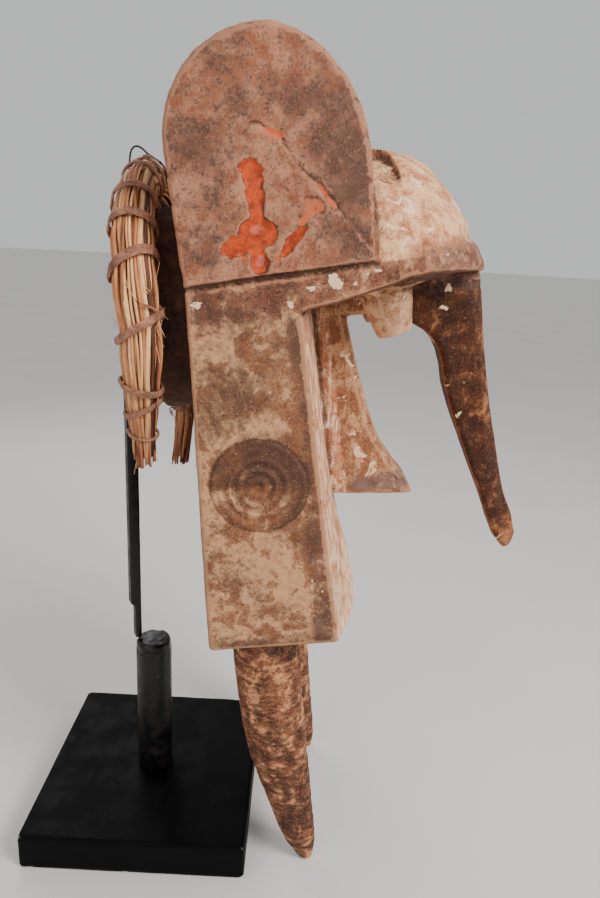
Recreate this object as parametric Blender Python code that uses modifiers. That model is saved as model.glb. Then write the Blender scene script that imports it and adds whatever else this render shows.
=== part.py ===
"""Elephant spirit mask of carved wood on its display stand, modelled at full size in metres.

+X is the way the face looks, +Z is up, and the origin is the centre of the slab's underside.
The mask is drawn upright in a frame of its own, x forward and z up from the tips of its tusks,
and leans back in that frame against the hoop and the bar of the stand.
"""

import math

import bmesh
import bpy
import numpy as np

GAP = 0.0003                    # clearance between touching pieces

# Stand: slab, pipe and bar
SLAB_SIDE = 0.200
SLAB_HEIGHT = 0.0346
SLAB_EDGE = 0.0020
PIPE_DIAMETER = 0.0337
PIPE_WALL = 0.0032
PIPE_HEIGHT = 0.1420
PIPE_CAP = 0.0050
BAR_SIDE = 0.0100
BAR_TURN = math.radians(30.0)
BAR_BEHIND_HOOP = 0.0005
BAR_NOTCH_HEIGHT = 0.0330
BAR_NOTCH_DEPTH = 0.0040
BAR_TOP_BELOW_HOOP = 0.0340

# How the mask stands
LEAN = math.radians(8.0)
TUSK_TIP_X = 0.1550

# Box of the mask: lower block with two side panels and a swollen front
PANEL_HALF_WIDTH = 0.1050
BOX_BOTTOM_Z = 0.2432
BOX_REAR_BOTTOM_X = -0.0550
BOX_REAR_TOP_X = -0.0360
BOX_FRONT_BOTTOM_X = 0.0470
BOX_FRONT_TOP_X = 0.0400
BOX_SWELL = 0.0068
CHIN_SWELL = 0.0175
CHIN_HEIGHT = 0.0920
SWELL_FULLNESS = 2.6
WORN_EDGE = 0.0022

# Brow shelf and the dome above it
SHELF_BOTTOM_Z = 0.4955
SHELF_TOP_Z = 0.5215
SHELF_RISE = 0.0190
SHELF_RISE_END_X = 0.1350
SHELF_DROOP = 0.0050
BROW_RIM = 0.0120
BROW_REACH_X = 0.1840
BROW_ROUNDING = 0.0850
DOME_TOP_Z = 0.6055
DOME_TOP_X = 0.1040
DOME_FULLNESS = 2.4
BREAK_BEHIND_TOP = 0.0010
BREAK_DEPTH = 0.0100
BREAK_SPREAD = 0.0120

# Ear plates, round on top, whose curves start at shares of the ear's height below its top
EAR_REAR_X = -0.0380
EAR_FOOT_X = -0.0360
EAR_FRONT_X = 0.0930
EAR_TOP_Z = 0.6700
EAR_FRONT_SPRING = 0.584
EAR_REAR_SPRING = 0.450
EAR_FOOT_TILT = 0.0030
EAR_THICKNESS = 0.0200
EAR_STEP = 0.0020
EAR_EDGE = 0.0030

# Relief discs on the side panels
DISC_DIAMETER = 0.0690
DISC_X = -0.0010
DISC_Z = 0.3775
DISC_RINGS = 4
DISC_RISE = 0.0018
DISC_SEAT = 0.0040

# Nose blade, keel, trunk, eye stubs and tusks
NOSE_TOP_Z = 0.4900
NOSE_BOTTOM_Z = 0.3270
NOSE_BOTTOM_TILT = 0.0070
NOSE_HALF_TOP = 0.0110
NOSE_HALF_BOTTOM = 0.0165
NOSE_CHAMFER = 0.0060
KEEL_BOTTOM_Z = 0.4825
KEEL_HALF = 0.0110
TRUNK_TIP_Z = 0.2655
TRUNK_TIP_ROUND = 0.0035
TRUNK_HALF_TOP = 0.0170
TRUNK_HALF_TIP = 0.0085
EYE_Y = 0.0550
EYE_X = 0.0995
EYE_TIP_X = 0.1075
EYE_LENGTH = 0.0430
EYE_ROOT_RADIUS = 0.0240
EYE_TIP_RADIUS = 0.0130
TUSK_Y = 0.0720
TUSK_HALF_Y = 0.0215

# Hoop of bundled stems, the collar that carries it and the head hollow inside the collar
HOOP_X = 0.0165
HOOP_Z = 0.4850
HOOP_RADIUS = 0.0990
HOOP_NEAR_LEG = 0.1030
HOOP_NEAR_PULL = 0.14
HOOP_FAR_LEG = 0.1500
HOOP_FAR_PULL = 0.40
HOOP_LEG_BEND = 1.25 * math.tan(LEAN)
BUNDLE_HALF_X = 0.0148
BUNDLE_HALF_RADIAL = 0.0170
BUNDLE_TOP_SQUEEZE = 0.16
BUNDLE_END_SQUEEZE = 0.50
BUNDLE_LOBES = 13
BUNDLE_FLUTE = 0.05
COLLAR_BACK = 0.0080
COLLAR_FORWARD = 0.0450
COLLAR_WALL = 0.0130
HOLLOW_DEPTH = 0.1000
LASHING_THICKNESS = 0.0024
WIRE_DIAMETER = 0.0015
WIRE_SLACK = 0.0030
WIRE_SIDE = 0.0100

# Lashings on the hoop: share of the way from its crown to its end (the near side positive), width, slant
LASHINGS = (
    ("lashing_crown", 0.060, 0.0060, 0.0010),
    ("lashing_crown_side", 0.125, 0.0060, 0.0020),
    ("lashing_shoulder", 0.250, 0.0055, 0.0000),
    ("lashing_upper", 0.340, 0.0065, 0.0010),
    ("lashing_middle", 0.445, 0.0070, -0.0060),
    ("lashing_slanting", 0.608, 0.0055, -0.0070),
    ("lashing_lower", 0.765, 0.0045, 0.0055),
    ("lashing_lowest", 0.826, 0.0040, -0.0035),
    ("lashing_thin", 0.905, 0.0025, 0.0030),
    ("lashing_far_upper", -0.182, 0.0065, 0.0030),
    ("lashing_far_middle", -0.406, 0.0065, -0.0050),
    ("lashing_far_lower", -0.850, 0.0055, -0.0050),
)

# Profiles as shares of a height, up from the bottom, with the x that the outline has there.
# The dome's are shares of its reach, and the others are distances from where each form starts.
DOME_PROFILE = ((0.0, 1.0), (0.04, 0.968), (0.37, 0.812), (0.65, 0.612), (0.89, 0.345), (1.0, 0.0))
TRUNK_OUTER = ((0.0, 0.0232), (0.03, 0.0270), (0.19, 0.0195), (0.36, 0.0118), (0.60, 0.0040), (1.0, -0.0025))
TRUNK_INNER = ((0.0, 0.0165), (0.03, 0.0108), (0.18, -0.0014), (0.36, -0.0158), (0.60, -0.0330), (0.715, -0.0370),
               (0.78, -0.0462), (0.815, -0.0600), (1.0, -0.0665))
TRUNK_SECTION_TOP = ((0.0, 0.70), (0.10, 0.96), (0.84, 1.0), (1.0, 0.55))
TRUNK_SECTION_TIP = ((0.0, 0.60), (0.15, 0.95), (0.45, 1.0), (1.0, 0.30))
NOSE_FRONT = ((0.0, 0.0815), (0.05, 0.0790), (0.26, 0.0590), (0.67, 0.0418), (1.0, 0.0340))
TUSK_REAR = ((0.0, -0.0060), (0.05, -0.0132), (0.27, -0.0285), (0.54, -0.0411), (0.75, -0.0430), (1.1, -0.0398))
TUSK_FRONT = ((0.0, 0.0060), (0.045, 0.0089), (0.25, 0.0113), (0.49, 0.0126), (1.1, 0.0155))


def smooth_value(points, at):
    """Value of the smooth curve through (position, value) points; the slopes are means of the neighbours'."""
    pos = np.array([p[0] for p in points])
    val = np.array([p[1] for p in points])
    slope = np.gradient(val, pos)
    at = np.clip(np.asarray(at, dtype=float), pos[0], pos[-1])
    i = np.clip(np.searchsorted(pos, at) - 1, 0, len(pos) - 2)
    width = pos[i + 1] - pos[i]
    t = (at - pos[i]) / width
    rise = t * t * (3 - 2 * t)
    return (val[i] * (1 - rise) + val[i + 1] * rise
            + width * t * (1 - t) * ((1 - t) * slope[i] - t * slope[i + 1]))


def ease(value, start, end):
    """0 before start, 1 after end, smooth between."""
    t = np.clip((value - start) / (end - start), 0.0, 1.0)
    return t * t * (3 - 2 * t)


def new_collection(name):
    collection = bpy.data.collections.new(name)
    bpy.context.scene.collection.children.link(collection)
    return collection


def start_scene():
    """Empty the scene, and make the collections for the pieces and for the volumes they are made from."""
    for obj in list(bpy.data.objects):
        bpy.data.objects.remove(obj, do_unlink=True)
    return new_collection("elephant_mask"), new_collection("carving_volumes")


def material(name, color, roughness, metallic=0.0):
    mat = bpy.data.materials.new(name)
    mat.use_nodes = True
    shader = mat.node_tree.nodes["Principled BSDF"]
    shader.inputs["Base Color"].default_value = (*color, 1.0)
    shader.inputs["Roughness"].default_value = roughness
    shader.inputs["Metallic"].default_value = metallic
    return mat


def mesh_object(name, bm, collection, mat=None, parent=None):
    """Close the bmesh into a new object, with its faces turned outwards."""
    bmesh.ops.recalc_face_normals(bm, faces=bm.faces)
    mesh = bpy.data.meshes.new(name)
    bm.to_mesh(mesh)
    bm.free()
    obj = bpy.data.objects.new(name, mesh)
    collection.objects.link(obj)
    obj.parent = parent
    if mat:
        mesh.materials.append(mat)
    return obj


def loft(name, rings, collection, mat=None, parent=None):
    """Skin rings of equally many points, in order, and close both ends."""
    bm = bmesh.new()
    rows = [[bm.verts.new(point) for point in ring] for ring in rings]
    count = len(rows[0])
    for low, high in zip(rows, rows[1:]):
        for i in range(count):
            j = (i + 1) % count
            bm.faces.new((low[i], low[j], high[j], high[i]))
    bm.faces.new(rows[0])
    bm.faces.new(rows[-1])
    return mesh_object(name, bm, collection, mat, parent)


def closed_band(name, rings, collection, mat=None, parent=None):
    """Skin rings of points round a closed loop, the last ring joined to the first."""
    bm = bmesh.new()
    rows = [[bm.verts.new(point) for point in ring] for ring in rings]
    count = len(rows[0])
    for low, high in zip(rows, rows[1:] + rows[:1]):
        for i in range(count):
            j = (i + 1) % count
            bm.faces.new((low[i], low[j], high[j], high[i]))
    return mesh_object(name, bm, collection, mat, parent)


def cone(name, radius_low, radius_high, low, high, sides, collection, parent=None):
    """Frustum between two points, from the round end at low to the round end at high."""
    bm = bmesh.new()
    low, high = np.array(low), np.array(high)
    length = float(np.linalg.norm(high - low))
    bmesh.ops.create_cone(bm, cap_ends=True, segments=sides, radius1=radius_low, radius2=radius_high, depth=length)
    obj = mesh_object(name, bm, collection, parent=parent)
    along = (high - low) / length
    obj.rotation_euler = (0.0, math.atan2(math.hypot(along[0], along[1]), along[2]), math.atan2(along[1], along[0]))
    obj.location = (low + high) / 2
    return obj


def as_guide(obj):
    obj.hide_render = True
    obj.display_type = "WIRE"
    return obj


def combine(target, other, operation):
    modifier = target.modifiers.new(operation.lower() + "_" + other.name, "BOOLEAN")
    modifier.operation = operation
    modifier.object = as_guide(other)
    modifier.solver = "EXACT"


def rear_x(z):
    """Rear face of the box, sloping back towards its bottom."""
    share = (z - BOX_BOTTOM_Z) / (SHELF_TOP_Z - BOX_BOTTOM_Z)
    return BOX_REAR_BOTTOM_X + share * (BOX_REAR_TOP_X - BOX_REAR_BOTTOM_X)


def front_corner_x(z):
    share = (z - BOX_BOTTOM_Z) / (SHELF_BOTTOM_Z - BOX_BOTTOM_Z)
    return BOX_FRONT_BOTTOM_X + share * (BOX_FRONT_TOP_X - BOX_FRONT_BOTTOM_X)


def front_x(y, z):
    """Front of the box: a swelling between its two corners that grows into the chin."""
    swell = CHIN_SWELL + (BOX_SWELL - CHIN_SWELL) * ease(z, BOX_BOTTOM_Z, BOX_BOTTOM_Z + CHIN_HEIGHT)
    return front_corner_x(z) + swell * (1 - np.abs(y / PANEL_HALF_WIDTH) ** SWELL_FULLNESS)


def box_ring(z, inset):
    """Outline of the box at one height, with its four upright corners worn off."""
    half = PANEL_HALF_WIDTH - inset
    rear = rear_x(z) + inset
    across = np.linspace(-(half - WORN_EDGE), half - WORN_EDGE, 11)
    front = [(float(front_x(y, z)) - 0.5 * inset, float(y), z) for y in across]
    corner = front_corner_x(z) - 0.5 * inset - WORN_EDGE
    return ([(rear + WORN_EDGE, -half, z), (corner, -half, z)] + front
            + [(corner, half, z), (rear + WORN_EDGE, half, z), (rear, half - WORN_EDGE, z), (rear, WORN_EDGE - half, z)])


def make_box(collection, mat, frame):
    top = SHELF_TOP_Z - 2 * WORN_EDGE
    chin = [BOX_BOTTOM_Z + share * CHIN_HEIGHT for share in (0.3, 0.6, 1.0)]
    rings = [box_ring(BOX_BOTTOM_Z, WORN_EDGE)]
    for z in [BOX_BOTTOM_Z + WORN_EDGE] + chin + [0.5 * (chin[-1] + top), top]:
        rings.append(box_ring(z, 0.0))
    return loft("mask", rings, collection, mat, frame)


def shelf_lift(x):
    """How far the shelf's underside rises towards the front, and droops again at the tip."""
    rise = SHELF_RISE * ease(x, 0.75 * BOX_FRONT_TOP_X, SHELF_RISE_END_X)
    return rise - SHELF_DROOP * ease(x, SHELF_RISE_END_X, BROW_REACH_X)


def head_half_width(z):
    """Half width of the dome at one height, full at the shelf and closing to a narrow crown."""
    share = np.clip((z - SHELF_TOP_Z) / (1.05 * (DOME_TOP_Z - SHELF_TOP_Z)), 0.0, 1.0)
    return PANEL_HALF_WIDTH * math.sqrt(1 - share ** DOME_FULLNESS)


def head_height(y):
    """Height of the dome's crown at a distance from the middle plane, the inverse of its half width."""
    share = (1 - (y / PANEL_HALF_WIDTH) ** 2) ** (1 / DOME_FULLNESS)
    return SHELF_TOP_Z + 1.05 * (DOME_TOP_Z - SHELF_TOP_Z) * share


def head_ring(z, reach, half, lift_share):
    """Plan outline of the head: straight sides from the rear, rounded in front to its reach."""
    rounding = BROW_ROUNDING * half / PANEL_HALF_WIDTH
    start = reach - rounding
    side = np.linspace(EAR_FOOT_X, start, 5)[:-1]
    turn = np.linspace(-0.5 * math.pi, 0.5 * math.pi, 19)
    x = np.concatenate([side, start + rounding * np.cos(turn) ** 0.95, side[::-1]])
    y = np.concatenate([np.full(4, -half), half * np.sin(turn), np.full(4, half)])
    return [(float(a), float(b), float(z + lift_share * shelf_lift(a))) for a, b in zip(x, y)]


def make_head(collection, frame):
    """Brow shelf with its rolled rim, and the dome drawn in above it to a narrow crown."""
    rings = [head_ring(SHELF_BOTTOM_Z, BROW_REACH_X - WORN_EDGE, PANEL_HALF_WIDTH - WORN_EDGE, 1.0),
             head_ring(SHELF_BOTTOM_Z + WORN_EDGE, BROW_REACH_X, PANEL_HALF_WIDTH, 0.95),
             head_ring(SHELF_BOTTOM_Z + BROW_RIM, BROW_REACH_X, PANEL_HALF_WIDTH, 0.70)]
    for share in (0.05, 0.18, 0.31, 0.44, 0.57, 0.69, 0.79, 0.87, 0.93, 0.975, 1.0):
        z = SHELF_TOP_Z + share * (DOME_TOP_Z - SHELF_TOP_Z)
        reach = DOME_TOP_X + float(smooth_value(DOME_PROFILE, share)) * (BROW_REACH_X - DOME_TOP_X)
        rings.append(head_ring(z, reach, head_half_width(z), 0.0))
    return loft("head_volume", rings, collection, parent=frame)


def make_break(collection, frame):
    """The chipped-away strip of the crown: a step into the dome that runs further forward on its shoulders."""
    half = PANEL_HALF_WIDTH - EAR_THICKNESS - EAR_STEP
    rear = EAR_REAR_X - BREAK_DEPTH
    rings = []
    for share in (-1.0, -0.75, -0.5, -0.25, 0.0, 0.25, 0.5, 0.75, 1.0):
        y = share * half
        crown = min(DOME_TOP_Z, head_height(y))
        front = DOME_TOP_X - BREAK_BEHIND_TOP + BREAK_SPREAD * abs(share)
        low, high = crown - BREAK_DEPTH, DOME_TOP_Z + BREAK_DEPTH
        rings.append([(rear, y, low), (front, y, low), (front - 0.5 * BREAK_DEPTH, y, high), (rear, y, high)])
    return loft("break_cutter", rings, collection, parent=frame)


def ear_outline():
    """Tombstone outline in (x, z): a near circle on the rear quarter, a taller quarter on the front."""
    half = (EAR_FRONT_X - EAR_REAR_X) / 2
    middle = (EAR_FRONT_X + EAR_REAR_X) / 2
    feet = (EAR_FOOT_X, SHELF_TOP_Z - EAR_FOOT_TILT), (EAR_FRONT_X, SHELF_TOP_Z + EAR_FOOT_TILT)
    height = EAR_TOP_Z - feet[1][1]
    front_drop, rear_drop = EAR_FRONT_SPRING * height, EAR_REAR_SPRING * height
    quarter = np.linspace(0.0, 0.5 * math.pi, 13)
    front = [(middle + half * math.cos(a), EAR_TOP_Z - front_drop * (1 - math.sin(a))) for a in quarter]
    rear = [(middle - half * math.sin(a), EAR_TOP_Z - rear_drop * (1 - math.cos(a))) for a in quarter[1:]]
    return [feet[1]] + front + rear + [feet[0]]


def inset_outline(outline, distance):
    """Move an outline in towards its middle by about the distance."""
    points = np.array(outline)
    after = np.roll(points, -1, axis=0) - points
    before = points - np.roll(points, 1, axis=0)
    along = after / np.linalg.norm(after, axis=1)[:, None] + before / np.linalg.norm(before, axis=1)[:, None]
    along /= np.linalg.norm(along, axis=1)[:, None]
    return [tuple(p) for p in points + distance * np.stack([-along[:, 1], along[:, 0]], axis=1)]


def make_ear(side, collection, frame):
    """Ear plate whose outer face stands a step proud of the panel, its rim worn round."""
    outer = PANEL_HALF_WIDTH + EAR_STEP
    inner = outer - EAR_THICKNESS
    full = ear_outline()
    worn = inset_outline(full, EAR_EDGE)
    rings = [[(x, side * y, z) for x, z in outline] for y, outline in
             ((inner, worn), (inner + EAR_EDGE, full), (outer - EAR_EDGE, full), (outer, worn))]
    name = "ear_near_volume" if side < 0 else "ear_far_volume"
    return loft(name, rings, collection, parent=frame)


def make_disc(side, collection, frame):
    """Turned disc with a raised rim and concentric grooves, seated in the panel."""
    radius = DISC_DIAMETER / 2
    step = radius / DISC_RINGS
    profile = [(0.0, DISC_RISE * 0.3)]
    for ring in range(DISC_RINGS):
        crest = (ring + 0.55) * step
        profile.append((crest, DISC_RISE))
        if ring < DISC_RINGS - 1:
            profile.append(((ring + 1.05) * step, DISC_RISE * 0.3))
    profile += [(radius, DISC_RISE * 0.8), (radius, -DISC_SEAT), (0.0, -DISC_SEAT)]
    mesh = bpy.data.meshes.new("disc_profile")
    mesh.from_pydata([(r, 0.0, h) for r, h in profile], [(i, i + 1) for i in range(len(profile) - 1)], [])
    name = "disc_near_volume" if side < 0 else "disc_far_volume"
    obj = bpy.data.objects.new(name, mesh)
    collection.objects.link(obj)
    obj.parent = frame
    screw = obj.modifiers.new("turn", "SCREW")
    screw.steps = 32
    screw.render_steps = 32
    screw.use_merge_vertices = True
    screw.merge_threshold = 0.00005
    obj.location = (DISC_X, side * PANEL_HALF_WIDTH, DISC_Z)
    obj.rotation_euler = (-side * 0.5 * math.pi, 0.0, 0.0)
    return obj


def make_nose(collection, frame):
    """Nose blade: a wedge that widens downwards, its front edge narrower than its root."""
    rings = []
    for share in np.linspace(0.0, 1.06, 12):
        z = NOSE_BOTTOM_Z + share * (NOSE_TOP_Z - NOSE_BOTTOM_Z)
        front = BOX_FRONT_TOP_X + float(smooth_value(NOSE_FRONT, share))
        half = float(NOSE_HALF_BOTTOM + (NOSE_HALF_TOP - NOSE_HALF_BOTTOM) * ease(share, 0.0, 1.0))
        root = float(front_x(0.0, z)) - CHIN_SWELL
        rear_z = z + NOSE_BOTTOM_TILT * (1 - share)
        worn = 0.0 if share > 0.0 else 0.3 * NOSE_HALF_BOTTOM
        chamfer = front - NOSE_CHAMFER
        rings.append([(root, worn - half, rear_z), (chamfer, worn - half, z), (front, -0.6 * half, z),
                      (front, 0.6 * half, z), (chamfer, half - worn, z), (root, half - worn, rear_z)])
    return loft("nose_volume", rings, collection, parent=frame)


def trunk_x(profile, share):
    return BROW_REACH_X + float(smooth_value(profile, share))


def make_keel(collection, frame):
    """Web under the brow that joins the nose's root to the trunk's."""
    start, end = float(front_x(0.0, SHELF_BOTTOM_Z)) - BOX_SWELL, trunk_x(TRUNK_INNER, 0.70)
    rings = []
    for z, half in ((KEEL_BOTTOM_Z, 0.75 * KEEL_HALF), (KEEL_BOTTOM_Z + 0.3 * KEEL_HALF, KEEL_HALF),
                    (SHELF_TOP_Z, 1.1 * KEEL_HALF)):
        rings.append([(start, -half, z), (end, -half, z), (end, half, z), (start, half, z)])
    return loft("keel_volume", rings, collection, parent=frame)


def make_trunk(collection, frame):
    """Trunk: a tapering blade with a long arris on each side, its front face widening towards the tip."""
    rings = []
    height = SHELF_TOP_Z - TRUNK_TIP_Z
    shares = [0.0, TRUNK_TIP_ROUND / height, 0.05, 0.12, 0.20, 0.28, 0.36, 0.44, 0.52, 0.60, 0.66, 0.71, 0.745, 0.77,
              0.79, 0.81, 0.83, 0.90, 1.0]
    for share in shares:
        inner, outer = trunk_x(TRUNK_INNER, share), trunk_x(TRUNK_OUTER, share)
        half = float(TRUNK_HALF_TIP + (TRUNK_HALF_TOP - TRUNK_HALF_TIP) * ease(share, 0.0, 0.88))
        half *= 0.6 if share == 0.0 else 1.0
        top = float(ease(share, 0.1, 0.7))
        section = [((1 - top) * tip[0] + top * root[0], (1 - top) * tip[1] + top * root[1])
                   for tip, root in zip(TRUNK_SECTION_TIP, TRUNK_SECTION_TOP)]
        z = TRUNK_TIP_Z + share * height
        rings.append([(inner + along * (outer - inner), -half * wide, z) for along, wide in section]
                     + [(inner + along * (outer - inner), half * wide, z) for along, wide in reversed(section)])
    return loft("trunk_volume", rings, collection, parent=frame)


def make_eye(side, collection, frame):
    """Eye stub hanging from the shelf, wider and further back at its root."""
    name = "eye_near_volume" if side < 0 else "eye_far_volume"
    root = SHELF_BOTTOM_Z + SHELF_RISE
    return cone(name, EYE_TIP_RADIUS, EYE_ROOT_RADIUS, (EYE_TIP_X, side * EYE_Y, root - EYE_LENGTH),
                (EYE_X, side * EYE_Y, root), 16, collection, frame)


def make_tusk(side, collection, frame):
    """Tusk under the box: round in section, tapering to a small foot cut flat to the floor."""
    rings = []
    turn = np.linspace(0.0, 2 * math.pi, 15)[:-1]
    root_half = (TUSK_FRONT[-1][1] - TUSK_REAR[-1][1]) / 2
    for share in (0.0, 0.03, 0.08, 0.16, 0.26, 0.38, 0.50, 0.62, 0.74, 0.87, 1.05):
        rear, front = float(smooth_value(TUSK_REAR, share)), float(smooth_value(TUSK_FRONT, share))
        half_x = (front - rear) / 2
        x = (front + rear) / 2 + half_x * np.cos(turn)
        y = side * (TUSK_Y + TUSK_HALF_Y * half_x / root_half * np.sin(turn))
        floor = -x * math.tan(LEAN)
        level = floor + share * BOX_BOTTOM_Z * (1 + (x / BOX_BOTTOM_Z) * math.tan(LEAN))
        rings.append([(float(a), float(b), float(c)) for a, b, c in zip(x, y, level)])
    name = "tusk_near_volume" if side < 0 else "tusk_far_volume"
    return loft(name, rings, collection, parent=frame)


def hoop_quarter():
    return 0.5 * math.pi * HOOP_RADIUS


def hoop_leg(s):
    """(length, pull) of the leg on the side of s: the near side is positive."""
    return (HOOP_FAR_LEG, HOOP_FAR_PULL) if s < 0 else (HOOP_NEAR_LEG, HOOP_NEAR_PULL)


def hoop_reach(side):
    """Length along the hoop from its crown to the end on one side."""
    return hoop_quarter() + hoop_leg(side)[0]


def hoop_centre(s):
    """(y, z) of the bundle's centre at length s from the crown: an arch, then legs that pull in below."""
    if abs(s) <= hoop_quarter():
        return -HOOP_RADIUS * math.sin(s / HOOP_RADIUS), HOOP_RADIUS * math.cos(s / HOOP_RADIUS)
    leg, pull = hoop_leg(s)
    t = (abs(s) - hoop_quarter()) / leg
    return -math.copysign(HOOP_RADIUS * (1 - pull * t * t), s), -leg * t


def bundle_scale(s):
    """The bundle is drawn in a little at the crown and more at its loose ends."""
    crown = BUNDLE_TOP_SQUEEZE * (1 - ease(abs(s), 0.0, 0.7 * hoop_quarter()))
    end = BUNDLE_END_SQUEEZE * ease(abs(s), hoop_quarter(), hoop_reach(s)) ** 1.5
    return float(1 - crown - end)


def hoop_point(s, turn, lift):
    """Point in the hoop's frame on the smooth bundle at length s, turned round it, lifted off its skin."""
    y, z = hoop_centre(s)
    ahead, behind = hoop_centre(s + 0.0005), hoop_centre(s - 0.0005)
    along = np.array([ahead[0] - behind[0], ahead[1] - behind[1]])
    along /= np.linalg.norm(along)
    out = np.array([along[1], -along[0]]) * math.copysign(1.0, along[1] * y - along[0] * z)
    scale = bundle_scale(s)
    radial = (BUNDLE_HALF_RADIAL * scale + lift) * math.sin(turn)
    y, z = float(y + out[0] * radial), float(z + out[1] * radial)
    below = max(0.0, -z)
    bend = HOOP_LEG_BEND * below * below / (below + BUNDLE_HALF_RADIAL)
    return (BUNDLE_HALF_X * scale + lift) * math.cos(turn) - bend, y, z


def make_hoop(collection, mat, frame):
    """Bundle of stems bent to a hoop open below, its section fluted by the outer stems."""
    turn = np.linspace(0.0, 2 * math.pi, 2 * BUNDLE_LOBES + 1)[:-1]
    rings = []
    for s in np.linspace(-hoop_reach(-1), hoop_reach(1), 47):
        ring = []
        for i, a in enumerate(turn):
            flute = 0.0 if i % 2 == 0 else -BUNDLE_FLUTE * BUNDLE_HALF_X
            ring.append(hoop_point(s, a, flute))
        rings.append(ring)
    return loft("head_ring", rings, collection, mat, frame)


def make_lashing(name, at, width, slant, collection, mat, frame):
    """Flat vine round the bundle, its rear side further along the hoop than its front by the slant."""
    rings = []
    for turn in np.linspace(0.0, 2 * math.pi, 25)[:-1]:
        middle = at + slant * math.cos(turn)
        low, high = GAP, GAP + LASHING_THICKNESS
        rings.append([hoop_point(middle - 0.5 * width, turn, low), hoop_point(middle + 0.5 * width, turn, low),
                      hoop_point(middle + 0.3 * width, turn, high), hoop_point(middle - 0.3 * width, turn, high)])
    return closed_band(name, rings, collection, mat, frame)


def collar_radius():
    """The collar fills the hoop, so its radius follows the hoop's inner side."""
    return HOOP_RADIUS - BUNDLE_HALF_RADIAL - LASHING_THICKNESS - 2 * GAP


def make_collar(collection, frame):
    radius = collar_radius()
    return cone("collar_volume", radius, radius, (-COLLAR_BACK, 0.0, 0.0), (COLLAR_FORWARD, 0.0, 0.0), 48,
                collection, frame)


def make_hollow(collection, frame):
    """Room for the top of the wearer's head, open to the rear and rounded inside."""
    radius = collar_radius() - COLLAR_WALL
    rings = []
    turn = np.linspace(0.0, 2 * math.pi, 41)[:-1]
    for x, share in ((-0.010, 1.0), (HOLLOW_DEPTH * 0.6, 1.0), (HOLLOW_DEPTH * 0.8, 0.90), (HOLLOW_DEPTH * 0.93, 0.72),
                     (HOLLOW_DEPTH, 0.45)):
        rings.append([(x - COLLAR_BACK, radius * share * math.cos(a), radius * share * math.sin(a)) for a in turn])
    return loft("hollow_cutter", rings, collection, parent=frame)


def make_mask(collection, volumes, mat, mask_frame, hoop_frame):
    """One carved block: every volume joined to the box, then the hollow and the break cut out of it."""
    mask = make_box(collection, mat, mask_frame)
    joined = [make_head(volumes, mask_frame), make_collar(volumes, hoop_frame), make_nose(volumes, mask_frame),
              make_keel(volumes, mask_frame), make_trunk(volumes, mask_frame)]
    for side in (-1, 1):
        joined += [make_ear(side, volumes, mask_frame), make_disc(side, volumes, mask_frame),
                   make_eye(side, volumes, mask_frame), make_tusk(side, volumes, mask_frame)]
    for volume in joined:
        combine(mask, volume, "UNION")
    combine(mask, make_hollow(volumes, hoop_frame), "DIFFERENCE")
    combine(mask, make_break(volumes, mask_frame), "DIFFERENCE")
    return mask


def make_slab(collection, mat):
    bm = bmesh.new()
    bmesh.ops.create_cube(bm, size=1.0)
    bmesh.ops.scale(bm, vec=(SLAB_SIDE, SLAB_SIDE, SLAB_HEIGHT), verts=bm.verts)
    bmesh.ops.translate(bm, vec=(0.0, 0.0, SLAB_HEIGHT / 2), verts=bm.verts)
    slab = mesh_object("base_slab", bm, collection, mat)
    bevel = slab.modifiers.new("worn_edges", "BEVEL")
    bevel.width = SLAB_EDGE
    bevel.segments = 2
    return slab


def make_pipe(collection, mat):
    """Pipe that stands on the slab, its top closed by a low welded crown."""
    outer, inner = PIPE_DIAMETER / 2, PIPE_DIAMETER / 2 - PIPE_WALL
    top = PIPE_HEIGHT
    profile = [(0.0, top), (outer - 0.002, top), (outer, top - 0.003), (outer, 0.0), (inner, 0.0),
               (inner, top - PIPE_CAP), (0.0, top - PIPE_CAP)]
    mesh = bpy.data.meshes.new("socket_pipe")
    mesh.from_pydata([(r, 0.0, z) for r, z in profile], [(i, i + 1) for i in range(len(profile) - 1)], [])
    mesh.materials.append(mat)
    pipe = bpy.data.objects.new("socket_pipe", mesh)
    collection.objects.link(pipe)
    screw = pipe.modifiers.new("turn", "SCREW")
    screw.steps = 40
    screw.render_steps = 40
    screw.use_merge_vertices = True
    screw.merge_threshold = 0.00005
    screw.use_smooth_shade = True
    pipe.location = (0.0, 0.0, SLAB_HEIGHT + GAP)
    return pipe


def bar_foot():
    return SLAB_HEIGHT + GAP + PIPE_HEIGHT + GAP


def crown_half_x():
    return BUNDLE_HALF_X * (1 - BUNDLE_TOP_SQUEEZE)


def hoop_crown():
    """(x, z) of the bundle's centre at the hoop's crown."""
    return HOOP_X - HOOP_RADIUS * math.sin(LEAN), HOOP_Z + HOOP_RADIUS * math.cos(LEAN)


def bar_top():
    return hoop_crown()[1] + BUNDLE_HALF_RADIAL - BAR_TOP_BELOW_HOOP


def bar_x():
    """The bar stands close behind the hoop's crown, one corner towards it."""
    return hoop_crown()[0] - crown_half_x() - BAR_BEHIND_HOOP - BAR_SIDE / math.sqrt(2)


def make_bar(collection, mat):
    """Square bar from the pipe up behind the hoop, its foot cut back on the outer corner."""
    half = BAR_SIDE / 2
    cut = half - BAR_NOTCH_DEPTH
    full = [(-half, -half), (half, -half), (half, half), (-half, half)]
    slim = [(-cut, -half), (half, -half), (half, half), (-cut, half)]
    notch = bar_foot() + BAR_NOTCH_HEIGHT
    rings = [[(x, y, z) for x, y in outline] for z, outline in
             ((bar_foot(), slim), (notch, slim), (notch + BAR_NOTCH_DEPTH, full), (bar_top(), full))]
    bar = loft("rod", rings, collection, mat)
    bar.location = (bar_x(), 0.0, 0.0)
    bar.rotation_euler = (0.0, 0.0, BAR_TURN)
    return bar


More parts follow.
